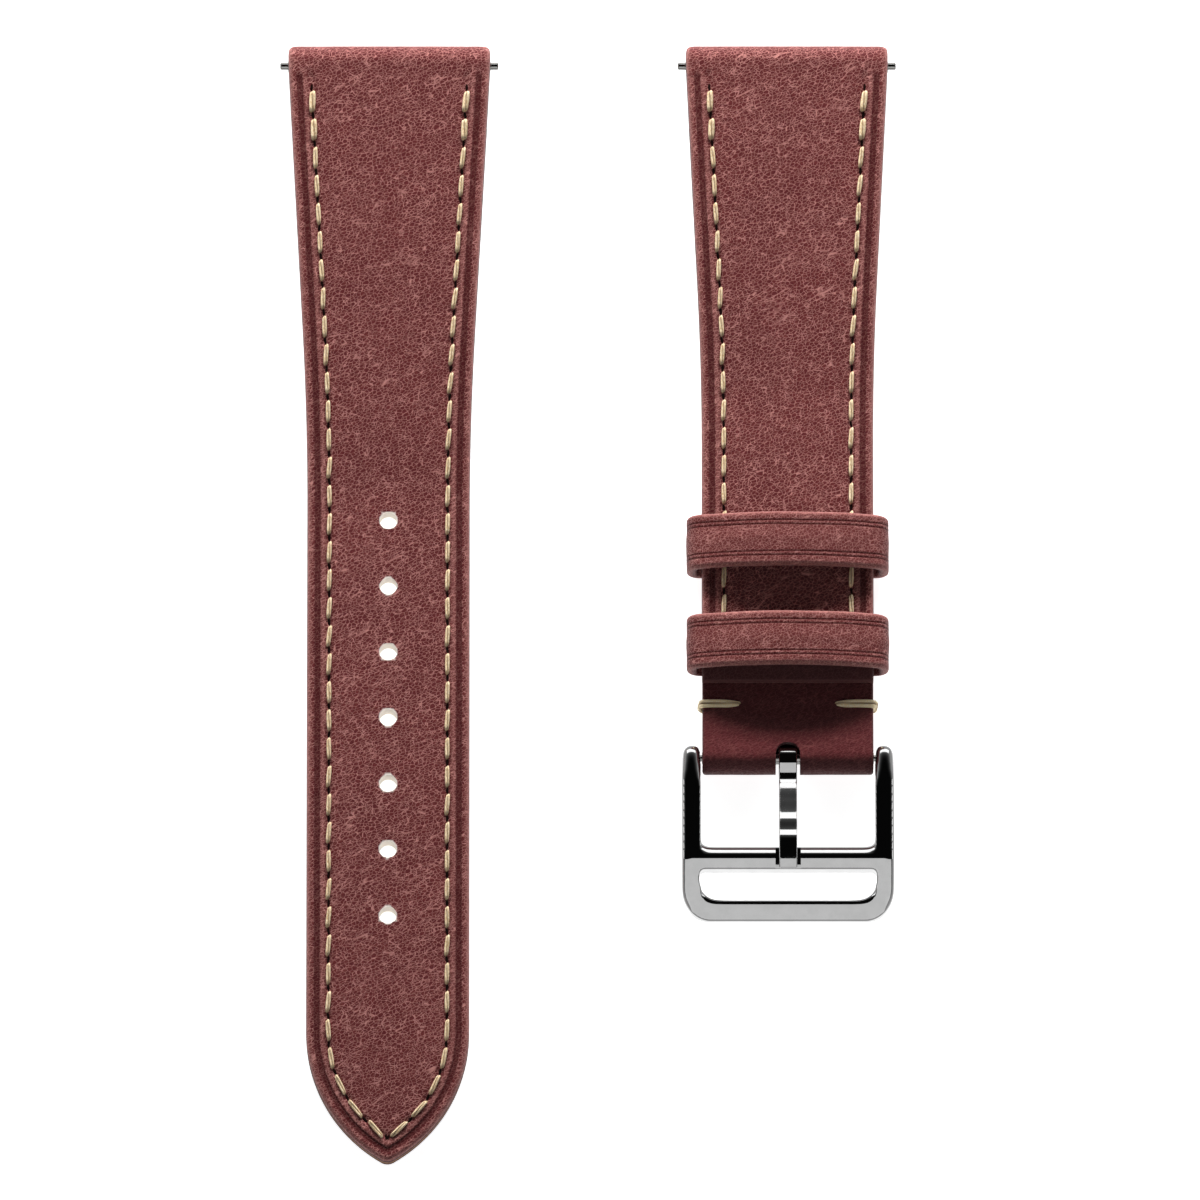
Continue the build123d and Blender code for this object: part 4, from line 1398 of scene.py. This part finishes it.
def build_frame():
    body = prism(frame_side(), -FRAME_HALF - 1, FRAME_HALF + 1, name="buckle_frame_polished")
    plan, window, gap = [prism(frame_plan(*sizes), -4, 5, "Z") for sizes in (
        (FRAME_HALF, EYE_R + 0.01, -FRAME_REACH - 0.02, 3.0, 0.85),
        (WINDOW_HALF, 3.0, -WINDOW_LENGTH, 0.5),
        (LOOP_SLOT_HALF, -CROSSBAR_END, -SLOT_END, 1.8, 0.5))]
    slope = prism(SLOPE_SIDE, -WINDOW_HALF, WINDOW_HALF)
    carve(body, [window, gap, slope], [plan])
    polish(body, FRAME_GRAIN, FRAME_PASSES, frame_wear)
    sockets = [prism(circle(EYE, SOCKET_R, 24), *run) for run in SOCKET_RUNS]
    carve(body, [*sockets, prism(NOTCH_SIDE, -NOTCH_HALF, NOTCH_HALF)])
    return body


buckle_frame = build_frame()

# %% Bend the tongue
TONGUE_EYE_R = 1.15
TONGUE_BORE_R = 0.7
TONGUE_SEAT = 2.25
TONGUE_T = 0.9
TONGUE_REACH = 11.8
TONGUE_HALF = 0.9
TONGUE_GRAIN = 0.06
TONGUE_PASSES = 12
TONGUE_TOP = ((0, 1.15), (-0.6, 1.1), (-1.15, 0.86), (-1.65, 0.64), (-2.0, 0.58), (-2.35, 0.66),
              (-3.2, 1.1), (-4.6, 1.55), (-6.1, 2.03), (-6.7, 2.36), (-8.0, 2.74), (-8.6, 3.05),
              (-9.3, 3.17), (-10.2, 3.08), (-11.0, 2.86), (-11.8, 2.5))


def smooth_line(knots, first, last, steps):
    """A smooth line through knots, with its direction given at both ends."""
    knots = [Vector(k) for k in knots]
    ways = [Vector(first)] + [c - a for a, c in zip(knots, knots[2:])] + [Vector(last)]
    line = []
    for a, b, leave, arrive in zip(knots, knots[1:], ways, ways[1:]):
        leave, arrive = (way.normalized() * (b - a).length for way in (leave, arrive))
        for i in range(steps):
            t = i / steps
            line.append(tuple(a * (2 * t ** 3 - 3 * t ** 2 + 1) + leave * (t ** 3 - 2 * t ** 2 + t)
                              + b * (3 * t ** 2 - 2 * t ** 3) + arrive * (t ** 3 - t ** 2)))
    return line + [tuple(knots[-1])]


def tongue_side():
    """The tongue from the side: its wavy top, the tip, the underside and the eye."""
    turn = math.radians(215)
    leave = (TONGUE_EYE_R * math.cos(turn), TONGUE_EYE_R * math.sin(turn))
    under = [(0.25 - WINDOW_LENGTH, TONGUE_SEAT), *(
        (y + 0.15, z - TONGUE_T) for y, z in reversed(TONGUE_TOP[4:11:2])), leave]
    return (smooth_line(TONGUE_TOP, (-1, 0), (-1, -0.45), 6) + [(-TONGUE_REACH, TONGUE_SEAT)]
            + smooth_line(under, (1, 0), (0.3, -0.6), 8)
            + arc_between(EYE, TONGUE_EYE_R, leave, (0, TONGUE_EYE_R), 30)[1:-1])


buckle_tongue = prism(tongue_side(), -TONGUE_HALF, TONGUE_HALF, name="buckle_tongue_polished")
polish(buckle_tongue, TONGUE_GRAIN, TONGUE_PASSES)
carve(buckle_tongue, [prism(circle(EYE, TONGUE_BORE_R, 32), -2, 2)])

# %% [markdown]
# ## Spring bars
#
# Tubes and tips are turned parts that the CAD model already has right, so they stay and get
# their steel. A coil in a CAD model is a faceted stand-in, so each is wound again here as a
# curve: a round wire on a helix, with its two end turns closed. A pressed tip squeezes its half
# of the coil, so the halves are two pieces that meet in the middle.

# %% Dress the tubes and tips
for name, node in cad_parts.items():
    if "_bar_" in name and "tacks" not in name and not name.endswith("spring"):
        node.data.materials.clear()
        node.data.materials.append(bar_steel)
        print("steel on", name)

# %% Wind the coils
WIRE_R = 0.08
WIRE_SIDES = 7
COIL_TURNS = 9
STEPS_PER_TURN = 16


def wind_half(name, middle, coil_r, run, way):
    """Half a coil along X, from a middle point in mm towards one end."""
    half_steps = COIL_TURNS * STEPS_PER_TURN // 2
    points = []
    for i in range(half_steps + STEPS_PER_TURN + 1):
        share = min(1.0, i / half_steps) / 2
        shut = 2 * WIRE_R * max(0, i - half_steps) / STEPS_PER_TURN
        turn = way * math.tau * i / STEPS_PER_TURN
        points.append(middle + Vector((way * (share * (run - 6 * WIRE_R) + shut),
                                       coil_r * math.cos(turn), coil_r * math.sin(turn))))
    return make_piece(name, *tube_along(points, [WIRE_R] * len(points), WIRE_SIDES), PLAIN,
                      spring_steel)


BARS = {"tail": ("tail_half", Vector((-HALF_OFFSET, LUG_BAR_Y, LUG_BAR_Z)), 0.47, 15.24),
        "short": ("short_half", Vector((HALF_OFFSET, LUG_BAR_Y, LUG_BAR_Z)), 0.47, 15.24),
        "buckle": ("short_half", BUCKLE_PLACE.translation, 0.37, 11.74)}
coils = [(wind_half(f"{bar}_bar_coil_{side}", middle, coil_r, run, way), body,
          f"{bar}_bar_tip_{side}", middle, way * run / 2, f"{bar}_bar_spring")
         for bar, (body, middle, coil_r, run) in BARS.items()
         for side, way in (("right", 1), ("left", -1))]

# %% [markdown]
# ## Each piece rides on its body
#
# The last step ties every new piece but the coils to the CAD body that it moves with and
# hides the CAD solids that it stands for.

# %% Ride and replace
RIDES = [
    (tail_upper, "tail_half", "upper_leather", ("tail_upper", "tail_filler", "tail_loop_liner")),
    (tail_lining, "tail_half", "lining_leather", ("tail_lining",)),
    (tail_stitches, "tail_half", "thread", ("tail_stitching",)),
    (tail_slits, "tail_half", "upper_leather", ()),
    (short_upper, "short_half", "upper_leather",
     ("short_upper", "short_filler", "short_loop_liner")),
    (short_lining, "short_half", "lining_leather", ("short_lining",)),
    (short_stitches, "short_half", "thread", ("short_stitching",)),
    (short_slits, "short_half", "upper_leather", ()),
    (buckle_tab, "short_half", "upper_leather", ("buckle_tab",)),
    (tacks, "short_half", "thread", ("tab_bar_tacks",)),
    (fixed_keeper, "short_half", "keeper_leather", ("fixed_keeper",)),
    (free_keeper, "free_keeper", "keeper_leather", ("free_keeper",)),
    (buckle_frame, "buckle_frame", "polished_steel", ("buckle_frame",)),
    (buckle_tongue, "buckle_tongue", "polished_steel", ("buckle_tongue",)),
]
for piece, body, slot_name, nodes in RIDES:
    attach(piece, body)
    if nodes:
        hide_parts(*nodes)
for piece, body, tip, middle, reach, node in coils:
    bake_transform(piece)
    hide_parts(node)
